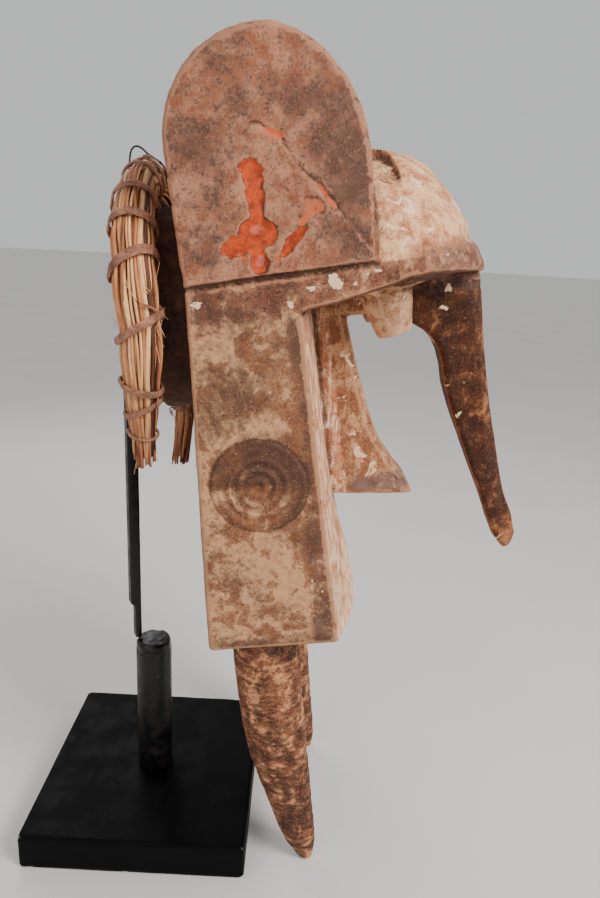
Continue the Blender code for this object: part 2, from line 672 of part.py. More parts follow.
def wire_route():
    """Route of the tie wire in its X-Z plane: up behind the hoop, over it in a loose loop and down in front."""
    lift = WIRE_DIAMETER / 2 + GAP
    crown_x, crown_z = hoop_crown()
    high = BUNDLE_HALF_RADIAL * (1 - BUNDLE_TOP_SQUEEZE)
    behind, front = crown_x - crown_half_x() - lift, crown_x + crown_half_x() + lift
    over = crown_z + high + lift
    return ((behind, crown_z - high), (behind, crown_z), (behind, over), (behind + WIRE_SLACK, over + 2.4 * WIRE_SLACK),
            (behind + 2.5 * WIRE_SLACK, over + 2.5 * WIRE_SLACK), (crown_x, over + WIRE_SLACK),
            (front, crown_z + 0.6 * high), (front, crown_z - 0.2 * high))


def make_wire(collection, mat):
    curve = bpy.data.curves.new("tie_wire", "CURVE")
    curve.dimensions = "3D"
    curve.bevel_depth = WIRE_DIAMETER / 2
    curve.bevel_resolution = 2
    curve.use_fill_caps = True
    curve.resolution_u = 3
    route = wire_route()
    spline = curve.splines.new("BEZIER")
    spline.bezier_points.add(len(route) - 1)
    for point, (x, z) in zip(spline.bezier_points, route):
        point.co = (x, -WIRE_SIDE, z)
        point.handle_left_type = "AUTO"
        point.handle_right_type = "AUTO"
    curve.materials.append(mat)
    wire = bpy.data.objects.new("tie_wire", curve)
    collection.objects.link(wire)
    return wire


def main():
    parts, volumes = start_scene()
    wood = material("crusted_wood", (0.42, 0.24, 0.14), 0.85)
    stems = material("dry_stems", (0.50, 0.28, 0.13), 0.75)
    vine = material("flat_vine", (0.30, 0.17, 0.12), 0.70)
    iron = material("black_iron", (0.02, 0.02, 0.022), 0.45, 1.0)
    paint = material("black_paint", (0.015, 0.015, 0.017), 0.50)

    mask_frame = bpy.data.objects.new("mask_frame", None)
    mask_frame.location = (TUSK_TIP_X, 0.0, 0.0)
    mask_frame.rotation_euler = (0.0, -LEAN, 0.0)
    hoop_frame = bpy.data.objects.new("hoop_frame", None)
    hoop_frame.location = (HOOP_X, 0.0, HOOP_Z)
    hoop_frame.rotation_euler = (0.0, -LEAN, 0.0)
    for frame in (mask_frame, hoop_frame):
        parts.objects.link(frame)

    make_mask(parts, volumes, wood, mask_frame, hoop_frame)
    make_hoop(parts, stems, hoop_frame)
    for name, share, width, slant in LASHINGS:
        make_lashing(name, share * hoop_reach(share), width, slant, parts, vine, hoop_frame)
    make_wire(parts, iron)
    make_bar(parts, iron)
    make_pipe(parts, iron)
    make_slab(parts, paint)


main()
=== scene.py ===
"""Looks of the elephant mask and its stand: worn carving, stems, lashings, iron, chipped paint and the stage.

Every piece is made from a formula in its own frame, in metres. The mask's frame has x forward and z up
from the tips of the tusks; the hoop's frame has x forward and z up from the middle of its arch.
"""

import math

import bmesh
import bpy
import numpy as np
from bpy.props import FloatProperty, FloatVectorProperty, IntProperty, PointerProperty
from mathutils import Matrix, Vector


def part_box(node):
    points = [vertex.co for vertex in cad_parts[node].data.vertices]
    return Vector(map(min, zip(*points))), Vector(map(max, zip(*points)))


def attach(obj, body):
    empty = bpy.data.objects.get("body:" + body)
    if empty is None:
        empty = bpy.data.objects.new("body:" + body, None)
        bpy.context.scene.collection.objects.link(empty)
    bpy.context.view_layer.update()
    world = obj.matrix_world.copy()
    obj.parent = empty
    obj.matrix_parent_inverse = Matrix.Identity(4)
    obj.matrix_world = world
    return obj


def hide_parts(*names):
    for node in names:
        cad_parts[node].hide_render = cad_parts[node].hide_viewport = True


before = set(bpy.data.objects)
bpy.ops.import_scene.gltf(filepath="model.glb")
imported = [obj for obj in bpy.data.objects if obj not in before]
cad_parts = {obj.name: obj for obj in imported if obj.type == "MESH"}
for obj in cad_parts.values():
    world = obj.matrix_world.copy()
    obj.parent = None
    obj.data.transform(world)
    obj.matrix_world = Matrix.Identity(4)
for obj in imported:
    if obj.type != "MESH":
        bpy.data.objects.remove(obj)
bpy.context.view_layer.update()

bl_info = {
    "name": "Elephant Mask Looks",
    "version": (1, 0, 0),
    "blender": (4, 5, 0),
    "location": "3D View > Sidebar > Elephant Mask",
    "description": "Builds the weathered surfaces of a carved elephant mask on its stand",
    "category": "Object",
}


def linear(red, green, blue):
    """Linear colour from display values between 0 and 255."""
    values = np.array([red, green, blue]) / 255.0
    out = np.where(values <= 0.04045, values / 12.92, ((values + 0.055) / 1.055) ** 2.4)
    return tuple(float(v) for v in out)


def length(name, description, default):
    return FloatProperty(name=name, description=description, default=default, unit="LENGTH", precision=4)


def number(name, description, default):
    return FloatProperty(name=name, description=description, default=default)


def whole(name, description, default):
    return IntProperty(name=name, description=description, default=default, min=1)


def color(name, description, red, green, blue):
    return FloatVectorProperty(name=name, description=description, subtype="COLOR", size=3, min=0.0, max=1.0,
                               default=linear(red, green, blue))


# Sizes and colours

class MaskLooks(bpy.types.PropertyGroup):
    lean: FloatProperty(name="Lean", description="Backward lean of the mask and the hoop",
                        default=math.radians(8.0), subtype="ANGLE")
    pivot_x: length("Tusk tips", "How far in front of the post the tips of the tusks stand", 0.155)
    voxel: length("Grain of the surface", "Spacing of the surface that is carved", 0.0013)
    triangles: whole("Triangles", "Triangles kept after carving", 192000)
    sway: length("Sway", "Height of the slow waves left by the carving tool", 0.0009)
    facet: length("Facets", "Height of the tool's small facets", 0.0004)
    groove: length("Seam depth", "Depth of the groove under each ear", 0.0022)
    flake: length("Flake depth", "Depth where the ear's crust has flaked off", 0.0012)
    relief: length("Disc relief", "Depth of the rings of the side discs", 0.0009)
    roughness: number("Roughness", "Roughness of the crusted wood", 0.82)


class HoopLooks(bpy.types.PropertyGroup):
    x: length("Hoop x", "Middle of the arch, forwards", 0.0165)
    z: length("Hoop height", "Height of the middle of the arch", 0.485)
    radius: length("Arch radius", "Radius of the arch to the bundle's middle", 0.099)
    leg: length("Near leg", "Length of the near leg below the arch", 0.103)
    pull: number("Near pull", "Share by which the near leg draws in", 0.14)
    far_leg: length("Far leg", "Length of the far leg below the arch", 0.150)
    far_pull: number("Far pull", "Share by which the far leg draws in", 0.40)
    bend: number("Bend", "How strongly the legs bend back below, as a share of the lean's slope", 1.25)
    half_x: length("Bundle depth", "Half of the bundle from front to back", 0.0148)
    half_out: length("Bundle width", "Half of the bundle across", 0.017)
    top_squeeze: number("Crown squeeze", "Share by which the bundle narrows at the crown", 0.16)
    end_squeeze: number("End squeeze", "Share by which the bundle narrows at its ends", 0.50)
    stems: whole("Stems", "Number of stems in the bundle", 118)
    stem: length("Stem width", "Mean width of a stem", 0.0029)
    fibres: whole("Loose fibres", "Number of single fibres that stand off the bundle", 60)
    straw: color("Straw", "Palest stems", 255, 204, 146)
    brown: color("Brown", "Common stems", 212, 132, 80)
    dark: color("Dark", "Darkest stems", 74, 42, 28)


class LashingLooks(bpy.types.PropertyGroup):
    thickness: length("Thickness", "Thickness of the vine", 0.0021)
    rib: length("Ribs", "Depth of the grooves along the vine", 0.00035)
    pale: color("Pale vine", "Palest vine", 186, 128, 98)
    deep: color("Deep vine", "Darkest vine", 84, 50, 38)


class StandLooks(bpy.types.PropertyGroup):
    voxel: length("Grain of the stand", "Spacing of the stand's surfaces", 0.0016)
    chip: length("Chips", "Size of the chips on the foot's corners", 0.0048)
    paint: color("Paint", "Black paint of the foot", 3, 3, 4)
    worn: color("Worn paint", "Paint where it is rubbed", 26, 24, 26)
    bare: color("Bare wood", "Dull wood where the paint is chipped", 108, 100, 66)
    iron: color("Iron", "Black iron of the post", 9, 9, 12)
    scratch: color("Scratches", "Marks on the iron", 122, 120, 128)
    rust: color("Rust", "Rubbed brown side of the bar", 48, 37, 34)


class StageLooks(bpy.types.PropertyGroup):
    floor: color("Floor", "Colour of the floor", 226, 224, 220)
    key: number("Key light", "Power of the main light in watts", 22.0)
    fill: number("Fill light", "Power of the filling light in watts", 4.0)
    back: number("Back light", "Power of the light from behind in watts", 6.0)
    sky: number("Sky", "Strength of the light all round", 0.70)


# Numbers on arrays

def ease(value, start, end):
    """0 before start, 1 after end, smooth between."""
    t = np.clip((value - start) / (end - start), 0.0, 1.0)
    return t * t * (3 - 2 * t)


def band(value, low, high, soft):
    """1 between low and high, 0 outside, with soft edges."""
    return ease(value, low - soft, low + soft) * (1 - ease(value, high - soft, high + soft))


def lattice(ix, iy, iz, seed):
    """Repeatable value between 0 and 1 for each whole point."""
    mask = np.int64(0xFFFFFFFF)
    n = (ix * 374761393 + iy * 668265263 + iz * 1442695041 + seed * 974634777) & mask
    n = ((n ^ (n >> 13)) * 1274126177) & mask
    n = ((n ^ (n >> 15)) * 668265263) & mask
    return (n ^ (n >> 16)) / 4294967296.0


def noise(points, cell, seed):
    """Smooth value noise between 0 and 1: whole-point values blended across each cell."""
    q = points / cell
    low = np.floor(q)
    f = q - low
    f = f * f * (3 - 2 * f)
    i = low.astype(np.int64)
    total = np.zeros(len(points))
    for dx in (0, 1):
        wx = f[:, 0] if dx else 1 - f[:, 0]
        for dy in (0, 1):
            wy = f[:, 1] if dy else 1 - f[:, 1]
            for dz in (0, 1):
                wz = f[:, 2] if dz else 1 - f[:, 2]
                total += wx * wy * wz * lattice(i[:, 0] + dx, i[:, 1] + dy, i[:, 2] + dz, seed)
    return total


def fractal(points, cell, seed, octaves=3):
    """Noise at a cell size and at halves of it, each half as strong, centred on 0 and about 1 high."""
    total = np.zeros(len(points))
    weight = 0.0
    for k in range(octaves):
        total += (noise(points, cell / 2 ** k, seed + 17 * k) - 0.5) * 0.5 ** k
        weight += 0.5 ** k
    return 2.0 * total / weight


def spots(x, z, table):
    """Highest of several soft ellipses: 1 at a middle, 0 on its outline, below 0 outside."""
    best = np.full(len(x), -4.0)
    for cx, cz, a, b, turn in table:
        c, s = math.cos(math.radians(turn)), math.sin(math.radians(turn))
        u = ((x - cx) * c + (z - cz) * s) / a
        v = ((z - cz) * c - (x - cx) * s) / b
        best = np.maximum(best, 1 - np.hypot(u, v))
    return best


def to_line(x, z, points):
    """Distance to a broken line, negative on its left side."""
    best = np.full(len(x), 1.0)
    side = np.ones(len(x))
    for (ax, az), (bx, bz) in zip(points, points[1:]):
        dx, dz = bx - ax, bz - az
        t = np.clip(((x - ax) * dx + (z - az) * dz) / (dx * dx + dz * dz), 0.0, 1.0)
        gap = np.hypot(x - ax - t * dx, z - az - t * dz)
        closer = gap < best
        turn = dx * (z - az) - dz * (x - ax)
        side = np.where(closer, np.where(turn > 0, -1.0, 1.0), side)
        best = np.minimum(best, gap)
    return best * side


# Meshes

def read_points(mesh):
    data = np.empty(len(mesh.vertices) * 3)
    mesh.vertices.foreach_get("co", data)
    return data.reshape(-1, 3)


def write_points(mesh, points):
    mesh.vertices.foreach_set("co", points.ravel())
    mesh.update()


def read_normals(mesh):
    data = np.empty(len(mesh.vertices) * 3)
    mesh.vertices.foreach_get("normal", data)
    return data.reshape(-1, 3)


def read_edges(mesh):
    data = np.empty(len(mesh.edges) * 2, dtype=np.int64)
    mesh.edges.foreach_get("vertices", data)
    return data.reshape(-1, 2)


def neighbour_mean(points, edges):
    """Mean of each point's neighbours along the edges."""
    count = len(points)
    degree = np.bincount(edges.ravel(), minlength=count)
    out = np.empty_like(points)
    for axis in range(points.shape[1]):
        column = points[:, axis]
        total = np.bincount(edges[:, 0], column[edges[:, 1]], count)
        total += np.bincount(edges[:, 1], column[edges[:, 0]], count)
        out[:, axis] = total / np.maximum(degree, 1)
    return out


def relaxed(points, edges, rounds):
    for _ in range(rounds):
        points = 0.5 * points + 0.5 * neighbour_mean(points, edges)
    return points


def bend_of(points, normals, edges, rounds):
    """How far each point stands out from its relaxed surroundings: above 0 on edges, below 0 in hollows."""
    return np.sum((points - relaxed(points, edges, rounds)) * normals, axis=1)


def joined_copy(nodes):
    """One closed mesh from copies of the CAD nodes, with their doubled points joined."""
    bm = bmesh.new()
    for name in nodes:
        bm.from_mesh(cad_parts[name].data)
    bmesh.ops.remove_doubles(bm, verts=bm.verts, dist=0.00002)
    bmesh.ops.recalc_face_normals(bm, faces=bm.faces)
    mesh = bpy.data.meshes.new(nodes[0] + "_copy")
    bm.to_mesh(mesh)
    bm.free()
    return mesh


def through_modifier(mesh, kind, **settings):
    """The mesh after one modifier."""
    obj = bpy.data.objects.new("work", mesh)
    bpy.context.scene.collection.objects.link(obj)
    modifier = obj.modifiers.new("work", kind)
    for key, value in settings.items():
        setattr(modifier, key, value)
    made = bpy.data.meshes.new_from_object(obj.evaluated_get(bpy.context.evaluated_depsgraph_get()))
    bpy.data.objects.remove(obj, do_unlink=True)
    if not len(made.polygons):
        raise RuntimeError(f"{kind} left nothing of {mesh.name}")
    bpy.data.meshes.remove(mesh)
    return made


def add_piece(name, mesh, mat, nodes):
    """Finished piece: smooth, with its material, in place of its CAD nodes."""
    obj = bpy.data.objects.new(name, mesh)
    bpy.context.scene.collection.objects.link(obj)
    mesh.name = name
    mesh.materials.clear()
    mesh.materials.append(mat)
    mesh.polygons.foreach_set("material_index", np.zeros(len(mesh.polygons), dtype=np.int32))
    mesh.polygons.foreach_set("use_smooth", np.ones(len(mesh.polygons), dtype=bool))
    mesh.update()
    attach(obj, "root")
    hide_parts(*nodes)
    return obj


def grid_mesh(name, grids, closed_along=False):
    """Skin grids of points, (rows, ring, 3) each, with the rings closed and the two end rings capped."""
    points, faces, start = [], [], 0
    for grid in grids:
        rows, ring = grid.shape[:2]
        index = start + np.arange(rows * ring).reshape(rows, ring)
        across = np.roll(index, -1, axis=1)
        if closed_along:
            low, high = index, np.roll(index, -1, axis=0)
            low_n, high_n = across, np.roll(across, -1, axis=0)
        else:
            low, high, low_n, high_n = index[:-1], index[1:], across[:-1], across[1:]
        quads = np.stack([low, low_n, high_n, high], axis=-1).reshape(-1, 4)
        faces += quads.tolist()
        if not closed_along:
            faces.append(index[0][::-1].tolist())
            faces.append(index[-1].tolist())
        points.append(grid.reshape(-1, 3))
        start += rows * ring
    mesh = bpy.data.meshes.new(name)
    mesh.from_pydata(np.concatenate(points).tolist(), [], faces)
    bm = bmesh.new()
    bm.from_mesh(mesh)
    bmesh.ops.recalc_face_normals(bm, faces=bm.faces)
    bm.to_mesh(mesh)
    bm.free()
    return mesh


def set_colors(mesh, name, values):
    """Store one colour for each point."""
    data = np.ones((len(mesh.vertices), 4), dtype=np.float32)
    data[:, :values.shape[1]] = values
    layer = mesh.color_attributes.new(name, "FLOAT_COLOR", "POINT")
    layer.data.foreach_set("color", data.ravel())


def set_vectors(mesh, name, values):
    layer = mesh.attributes.new(name, "FLOAT_VECTOR", "POINT")
    layer.data.foreach_set("vector", values.astype(np.float32).ravel())


def set_values(mesh, name, values):
    layer = mesh.attributes.new(name, "FLOAT", "POINT")
    layer.data.foreach_set("value", values.astype(np.float32))


def unit(vectors):
    return vectors / np.linalg.norm(vectors, axis=1)[:, None]


def triples(a, b, c):
    """One grid of triples from three values that are spread over the same grid."""
    return np.stack(np.broadcast_arrays(a, b, c), -1)


def kept_inside(points, nodes):
    """Points held inside the boxes of the CAD nodes that they stand for."""
    boxes = [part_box(name) for name in nodes]
    low = np.min([list(b[0]) for b in boxes], axis=0)
    high = np.max([list(b[1]) for b in boxes], axis=0)
    return np.clip(points, low, high)


# Material nodes

class Shade:
    """A material, with the few node operations that its recipe is written in."""

    def __init__(self, name):
        self.material = bpy.data.materials.new(name)
        self.material.use_nodes = True
        self.tree = self.material.node_tree
        self.shader = self.tree.nodes["Principled BSDF"]

    def feed(self, socket, value):
        """Link an input, or set it; a colour is given without its alpha."""
        if isinstance(value, bpy.types.NodeSocket):
            self.tree.links.new(value, socket)
        elif socket.type == "RGBA":
            socket.default_value = (*value, 1.0)
        else:
            socket.default_value = value

    def give(self, name, value):
        """Link or set one input of the shader."""
        self.feed(self.shader.inputs[name], value)

    def put(self, kind, inputs, **settings):
        made = self.tree.nodes.new(kind)
        for key, value in settings.items():
            setattr(made, key, value)
        for key, value in inputs.items():
            self.feed(made.inputs[key], value)
        return made

    def calc(self, operation, a, b, clamp=False):
        return self.put("ShaderNodeMath", {0: a, 1: b}, operation=operation, use_clamp=clamp).outputs[0]

    def times(self, a, b):
        return self.calc("MULTIPLY", a, b)

    def plus(self, a, b):
        return self.calc("ADD", a, b)

    def minus(self, a, b, clamp=False):
        return self.calc("SUBTRACT", a, b, clamp)

    def swing(self, value, amount):
        """A noise value around 0, times an amount."""
        return self.times(self.minus(value, 0.5), amount)

    def mixed(self, a, share_a, b, share_b):
        """Weighted sum of two values."""
        return self.plus(self.times(a, share_a), self.times(b, share_b))

    def step(self, value, low, high, to_low=0.0, to_high=1.0):
        """Smooth step of a value between two levels."""
        return self.put("ShaderNodeMapRange", {0: value, 1: low, 2: high, 3: to_low, 4: to_high},
                        interpolation_type="SMOOTHSTEP").outputs[0]

    def blend(self, factor, a, b, kind="MIX"):
        made = self.put("ShaderNodeMix", {0: factor, 6: a, 7: b}, data_type="RGBA", blend_type=kind)
        return made.outputs[2]

    def stained(self, color, red, green, blue):
        """A colour multiplied by another that is given in display values."""
        return self.blend(1.0, color, linear(red, green, blue), "MULTIPLY")

    def noise(self, vector, scale, detail=4.0, rough=0.55, twist=0.0):
        return self.put("ShaderNodeTexNoise", {"Vector": vector, "Scale": scale, "Detail": detail,
                                               "Roughness": rough, "Distortion": twist}).outputs[0]

    def attribute(self, name):
        return self.put("ShaderNodeAttribute", {}, attribute_name=name)

    def color(self, name):
        return self.attribute(name).outputs["Color"]

    def channels(self, name):
        made = self.put("ShaderNodeSeparateColor", {0: self.color(name)})
        return made.outputs[0], made.outputs[1], made.outputs[2]

    def place(self, turn=(0.0, 0.0, 0.0), scale=(1.0, 1.0, 1.0), source=None):
        source = source or self.put("ShaderNodeTexCoord", {}).outputs["Object"]
        return self.put("ShaderNodeMapping", {"Vector": source, "Rotation": turn, "Scale": scale}).outputs[0]

    def bump(self, height, distance, strength):
        made = self.put("ShaderNodeBump", {"Height": height, "Distance": distance, "Strength": strength})
        self.give("Normal", made.outputs[0])


# The carved mask

# Outline of the mask in its own frame
PANEL_Y = 0.105
EAR_INNER_Y = 0.087
SEAM_Z = 0.5215
SEAM_TILT = 0.003
BOX_TOP_Z = 0.4955
BOX_BOTTOM_Z = 0.2432
CORNER_BOTTOM_X = 0.047
CORNER_TOP_X = 0.040
REAR_BOTTOM_X = -0.0550
REAR_TOP_X = -0.0360
BROW_X = 0.184
DISC = (-0.001, 0.3775, 0.0345)
EYE = (0.1035, 0.055)
CREST = (0.104, 0.6055)
EARS_HALF_APART = 0.083
VAULT_RISE = 0.0882
VAULT_POWER = 0.4167
DISC_RINGS = 5

# Marks on the near ear, in metres of the mask's frame: middle x and z, half sizes, turn in degrees
ORANGE_DEEP = ((0.0165, 0.5885, 0.0072, 0.0050, 0), (0.0172, 0.5720, 0.0052, 0.0190, 0),
               (0.0170, 0.5490, 0.0128, 0.0118, 0), (0.0000, 0.5415, 0.0095, 0.0062, 20),
               (0.0158, 0.5335, 0.0055, 0.0090, 0), (0.0398, 0.5438, 0.0128, 0.0042, 44))
ORANGE_THIN = ((0.0540, 0.5634, 0.0075, 0.0060, 0), (0.0628, 0.5702, 0.0118, 0.0025, -57),
               (0.0470, 0.5560, 0.0050, 0.0030, 20), (0.0364, 0.5245, 0.0050, 0.0016, 5),
               (0.0290, 0.5330, 0.0022, 0.0060, 0), (0.0341, 0.6069, 0.0090, 0.0030, -28),
               (0.0050, 0.5360, 0.0050, 0.0035, 0))
RING = (0.0425, 0.5768, 0.0052)
CREASE = ((0.0108, 0.5919), (0.0110, 0.5993), (0.0150, 0.6075), (0.0200, 0.6132), (0.0271, 0.6103),
          (0.0364, 0.6044), (0.0428, 0.5936), (0.0484, 0.5862), (0.0576, 0.5766), (0.0685, 0.5621),
          (0.0772, 0.5511), (0.0878, 0.5361))
EAR_DARK = ((-0.022, 0.590, 0.028, 0.045, 10), (0.075, 0.590, 0.032, 0.062, -10),
            (0.014, 0.627, 0.012, 0.012, 0), (-0.018, 0.545, 0.024, 0.020, 0),
            (0.080, 0.538, 0.018, 0.030, 0), (0.050, 0.628, 0.030, 0.018, -20))
EAR_PALE = ((0.032, 0.592, 0.024, 0.026, 0), (-0.008, 0.522, 0.040, 0.012, 2),
            (-0.020, 0.640, 0.022, 0.022, 40), (0.045, 0.535, 0.026, 0.014, 0))
PANEL_PALE = ((-0.022, 0.470, 0.020, 0.030, 0), (0.004, 0.492, 0.030, 0.014, 0),
              (-0.030, 0.425, 0.012, 0.024, 0), (0.006, 0.420, 0.026, 0.012, 0),
              (-0.004, 0.322, 0.040, 0.022, 0), (-0.040, 0.350, 0.010, 0.030, 0),
              (0.020, 0.300, 0.022, 0.026, 0))
# Painted sheen: places where a pink highlight is painted on the flaked ear
PAINTED_PINK_SHEEN = ((0.0155, 0.5330, 0.0055, 0.0090, 0), (0.0160, 0.5520, 0.0075, 0.0050, 0))
WHITE_SPOTS = ((0.0640, 0.5150, 0.0058, 0.0070, 40), (0.0480, 0.5125, 0.0045, 0.0024, 15),
               (0.0900, 0.5190, 0.0085, 0.0022, 8), (0.0330, 0.5030, 0.0070, 0.0024, -12),
               (-0.0290, 0.5080, 0.0055, 0.0030, 0), (0.0760, 0.5130, 0.0040, 0.0018, 20))


def flaked(p):
    """Deep and thin flaked places of the ear: 0 on their ragged outlines, above 0 inside."""
    warp = 0.0060 * fractal(p, 0.011, 51, 4)
    drift = 0.0060 * fractal(p, 0.011, 57, 4)
    x, z = p[:, 0] + warp, p[:, 2] + drift
    return spots(x, z, ORANGE_DEEP), spots(x, z, ORANGE_THIN)


def to_mask(points):
    """World points in the mask's own frame: shifted to the tusk tips and turned back by the lean."""
    looks = bpy.context.scene.mask_looks
    c, s = math.cos(looks.lean), math.sin(looks.lean)
    x = points[:, 0] - looks.pivot_x
    return np.stack([c * x + s * points[:, 2], points[:, 1], c * points[:, 2] - s * x], axis=1)


def corner_x(z):
    """Where the panel meets the front, at a height of the box."""
    share = (z - BOX_BOTTOM_Z) / (BOX_TOP_Z - BOX_BOTTOM_Z)
    return CORNER_BOTTOM_X + share * (CORNER_TOP_X - CORNER_BOTTOM_X)


def hump(value, middle, width):
    """Bell curve: 1 at the middle."""
    return np.exp(-((value - middle) / width) ** 2)


def mask_regions(p, n):
    """Weight of each part of the carving at every point, from its place and the way it faces."""
    x, y, z = p.T
    side = np.abs(y)
    seam = SEAM_Z + SEAM_TILT * (x - 0.0285) / 0.0645
    rear = REAR_BOTTOM_X + (z - BOX_BOTTOM_Z) / (SEAM_Z - BOX_BOTTOM_Z) * (REAR_TOP_X - REAR_BOTTOM_X)
    corner = corner_x(z)
    above = ease(z, seam - 0.0008, seam + 0.0008)
    ear = above * ease(side, EAR_INNER_Y - 0.0015, EAR_INNER_Y - 0.0005) * (1 - ease(x, 0.0925, 0.0945))
    brow = ease(z, BOX_TOP_Z - 0.001, BOX_TOP_Z + 0.001) * (1 - above)
    # Downward faces under the brow; the darker tones that TONES gives them are painted shade
    under = ease(-n[:, 2], 0.35, 0.65) * ease(x, corner + 0.002, corner + 0.006) * ease(z, 0.480, 0.486)
    low = 1 - ease(z, BOX_TOP_Z - 0.002, BOX_TOP_Z)
    blade = (side < 0.0195) & (x > corner + 0.019) & (z < 0.5)
    trunk = blade & (x > 0.124 + 0.12 * np.clip(0.49 - z, 0, 1)) | (x > BROW_X + 0.0005) & (z < 0.52)
    trunk |= (side < 0.0195) & (x > 0.142) & (z < 0.503)
    nose = blade & ~trunk
    eye = (np.hypot(x - EYE[0], side - EYE[1]) < 0.0265) & (z < 0.5125) & (z > 0.45)
    return {
        "seam": seam,
        "above": above,
        "ear": ear,
        "dome": above * (1 - ear),
        "brow": brow * (1 - under),
        "under": under,
        "panel": low * ease(side, PANEL_Y - 0.0025, PANEL_Y - 0.001),
        "front": low * ease(x, corner - 0.001, corner + 0.001) * (z > BOX_BOTTOM_Z - 0.002),
        "rear": ease(rear - x, -0.0015, 0.0005) * (1 - above),
        "inside": (1 - ease(x, 0.028, 0.032)) * (np.hypot(y, z - 0.50) < 0.085),
        "trunk": trunk.astype(float),
        "nose": nose.astype(float),
        "eye": eye.astype(float),
        "tusk": 1 - ease(z, BOX_BOTTOM_Z - 0.003, BOX_BOTTOM_Z - 0.001),
    }


def carve(p, n, region):
    """Depth of the tool's waves, the seam, the disc, the flakes, the crease, the break and the cuts."""
    looks = bpy.context.scene.mask_looks
    x, y, z = p.T
    depth = looks.sway * (fractal(p, 0.055, 3) - 0.35)
    long = p * np.array([1.0, 1.0, 0.45])
    facets = fractal(long, 0.014, 11, 2)
    quiet = 1 - 0.75 * region["ear"] - 0.55 * region["panel"]
    depth += looks.facet * facets * quiet
    depth += 0.00012 * fractal(p, 0.0045, 23, 2)

    seam_gap = np.abs(z - region["seam"] - 0.0006 * fractal(p, 0.020, 31))
    middle = 0.45 + 0.55 * hump(x, 0.020, 0.040)
    outer = ease(np.abs(y), PANEL_Y - 0.006, PANEL_Y - 0.002) * (x < 0.094)
    depth -= looks.groove * middle * outer * hump(seam_gap, 0.0, 0.0014)

    r = np.hypot(x - DISC[0], z - DISC[1])
    on_disc = region["panel"] * (1 - ease(r, DISC[2] - 0.0005, DISC[2] + 0.0012))
    swirl = np.arctan2(z - DISC[1], x - DISC[0])
    wobble = 0.0022 * fractal(p, 0.022, 41) + 0.0011 * np.sin(swirl + 0.8)
    rings = np.cos(2 * math.pi * (r + wobble) * DISC_RINGS / DISC[2])
    height = 0.55 + 0.80 * noise(p, 0.016, 43)
    depth += looks.relief * on_disc * height * (0.55 * rings - 0.45)
    depth -= 0.0009 * region["panel"] * hump(r, DISC[2] + 0.0008, 0.0013)

    near = region["ear"] * (y < 0)
    deep, thin = flaked(p)
    depth -= looks.flake * near * ease(deep, -0.04, 0.08)
    depth -= 0.35 * looks.flake * near * ease(thin, -0.03, 0.06)
    line = to_line(x, z, CREASE) + 0.0026 * fractal(p, 0.012, 57, 3)
    fade = (0.25 + 0.75 * ease(x, 0.014, 0.022)) * (1 - 0.5 * ease(x, 0.060, 0.080))
    fade *= 0.3 + 1.1 * noise(p, 0.018, 59)
    depth += near * fade * (0.0008 * hump(line, 0.0027, 0.0020) - 0.0011 * hump(line, 0.0, 0.0013))
    leather = 0.0005 * fractal(p, 0.012, 61) + 0.00035 * fractal(p * np.array([1.0, 1.0, 1.4]), 0.005, 67, 2)
    depth += region["ear"] * leather

    over_brow = region["above"] * (1 - region["ear"]) * ease(x, 0.094, 0.110)
    depth -= over_brow * 0.0022 * hump(z, region["seam"] + 0.0085, 0.0060)
    roll = region["brow"] * ease(x, 0.06, 0.09)
    depth += roll * (0.0012 * fractal(p, 0.009, 75, 2) - 0.0003)
    nose_side = region["nose"] * ease(x, 0.066, 0.090) * ease(np.abs(n[:, 1]), 0.5, 0.8)
    depth -= 0.0026 * nose_side * band(z, 0.335, 0.348, 0.004)

    cut = above_break(p)
    depth += cut * 0.0016 * fractal(p, 0.007, 71)
    crest = hump(np.hypot(x - CREST[0], z - CREST[1]), 0.0, 0.020) * (np.abs(y) < 0.08)
    depth += crest * 0.0012 * (fractal(p, 0.010, 73) - 0.3)

    tip = ease(BOX_BOTTOM_Z - z, 0.0, 0.05) * region["tusk"]
    hacks = fractal(p * np.array([0.35, 0.35, 1.0]), 0.0050, 83, 2)
    depth += tip * 0.00045 * (np.minimum(hacks, 0.1) - 0.1) * 2.0
    return depth


def above_break(p):
    """The chipped strip behind the end of the dome's ridge, between the ears."""
    x, y, z = p.T
    share = np.abs(y) / EARS_HALF_APART
    front = CREST[0] - 0.0005 + 0.012 * share
    vault = np.clip(1 - (y / PANEL_Y) ** 2, 0.0, 1.0) ** VAULT_POWER
    crown = np.minimum(CREST[1], SEAM_Z + VAULT_RISE * vault)
    return (x < front) * (x > -0.04) * (share < 1.0) * ease(z, crown - 0.0125, crown - 0.0110)


# Tones of each part: wood, crust and soot as display colours, then how much crust and how much soot; the
# darker tones of the under, rear and inside parts are painted shade
TONES = (
    ("panel", (150, 100, 70), (216, 164, 120), (72, 49, 40), 0.46, 0.44),
    ("brow", (142, 92, 70), (216, 160, 118), (60, 38, 34), 0.35, 0.47),
    ("dome", (214, 144, 104), (255, 206, 154), (116, 78, 62), 0.54, 0.27),
    # Undersides of the brow: these darker tones are painted shade
    ("under", (100, 62, 44), (140, 94, 70), (40, 25, 19), 0.30, 0.50),
    ("front", (214, 144, 106), (255, 210, 168), (126, 86, 70), 0.54, 0.24),
    ("ear", (166, 110, 82), (200, 143, 112), (70, 52, 47), 0.50, 0.43),
    # Rear and inside parts behind the panels: their darker tones are painted shade
    ("rear", (92, 60, 44), (132, 92, 70), (38, 27, 22), 0.30, 0.44),
    ("inside", (82, 52, 38), (116, 80, 60), (36, 24, 19), 0.28, 0.44),
    ("eye", (184, 136, 100), (224, 178, 138), (104, 68, 50), 0.56, 0.30),
    ("nose", (158, 108, 76), (222, 168, 126), (84, 56, 44), 0.42, 0.36),
    ("trunk", (88, 47, 26), (178, 116, 74), (32, 17, 11), 0.28, 0.48),
    ("tusk", (128, 78, 54), (226, 158, 112), (26, 19, 18), 0.36, 0.52),
)


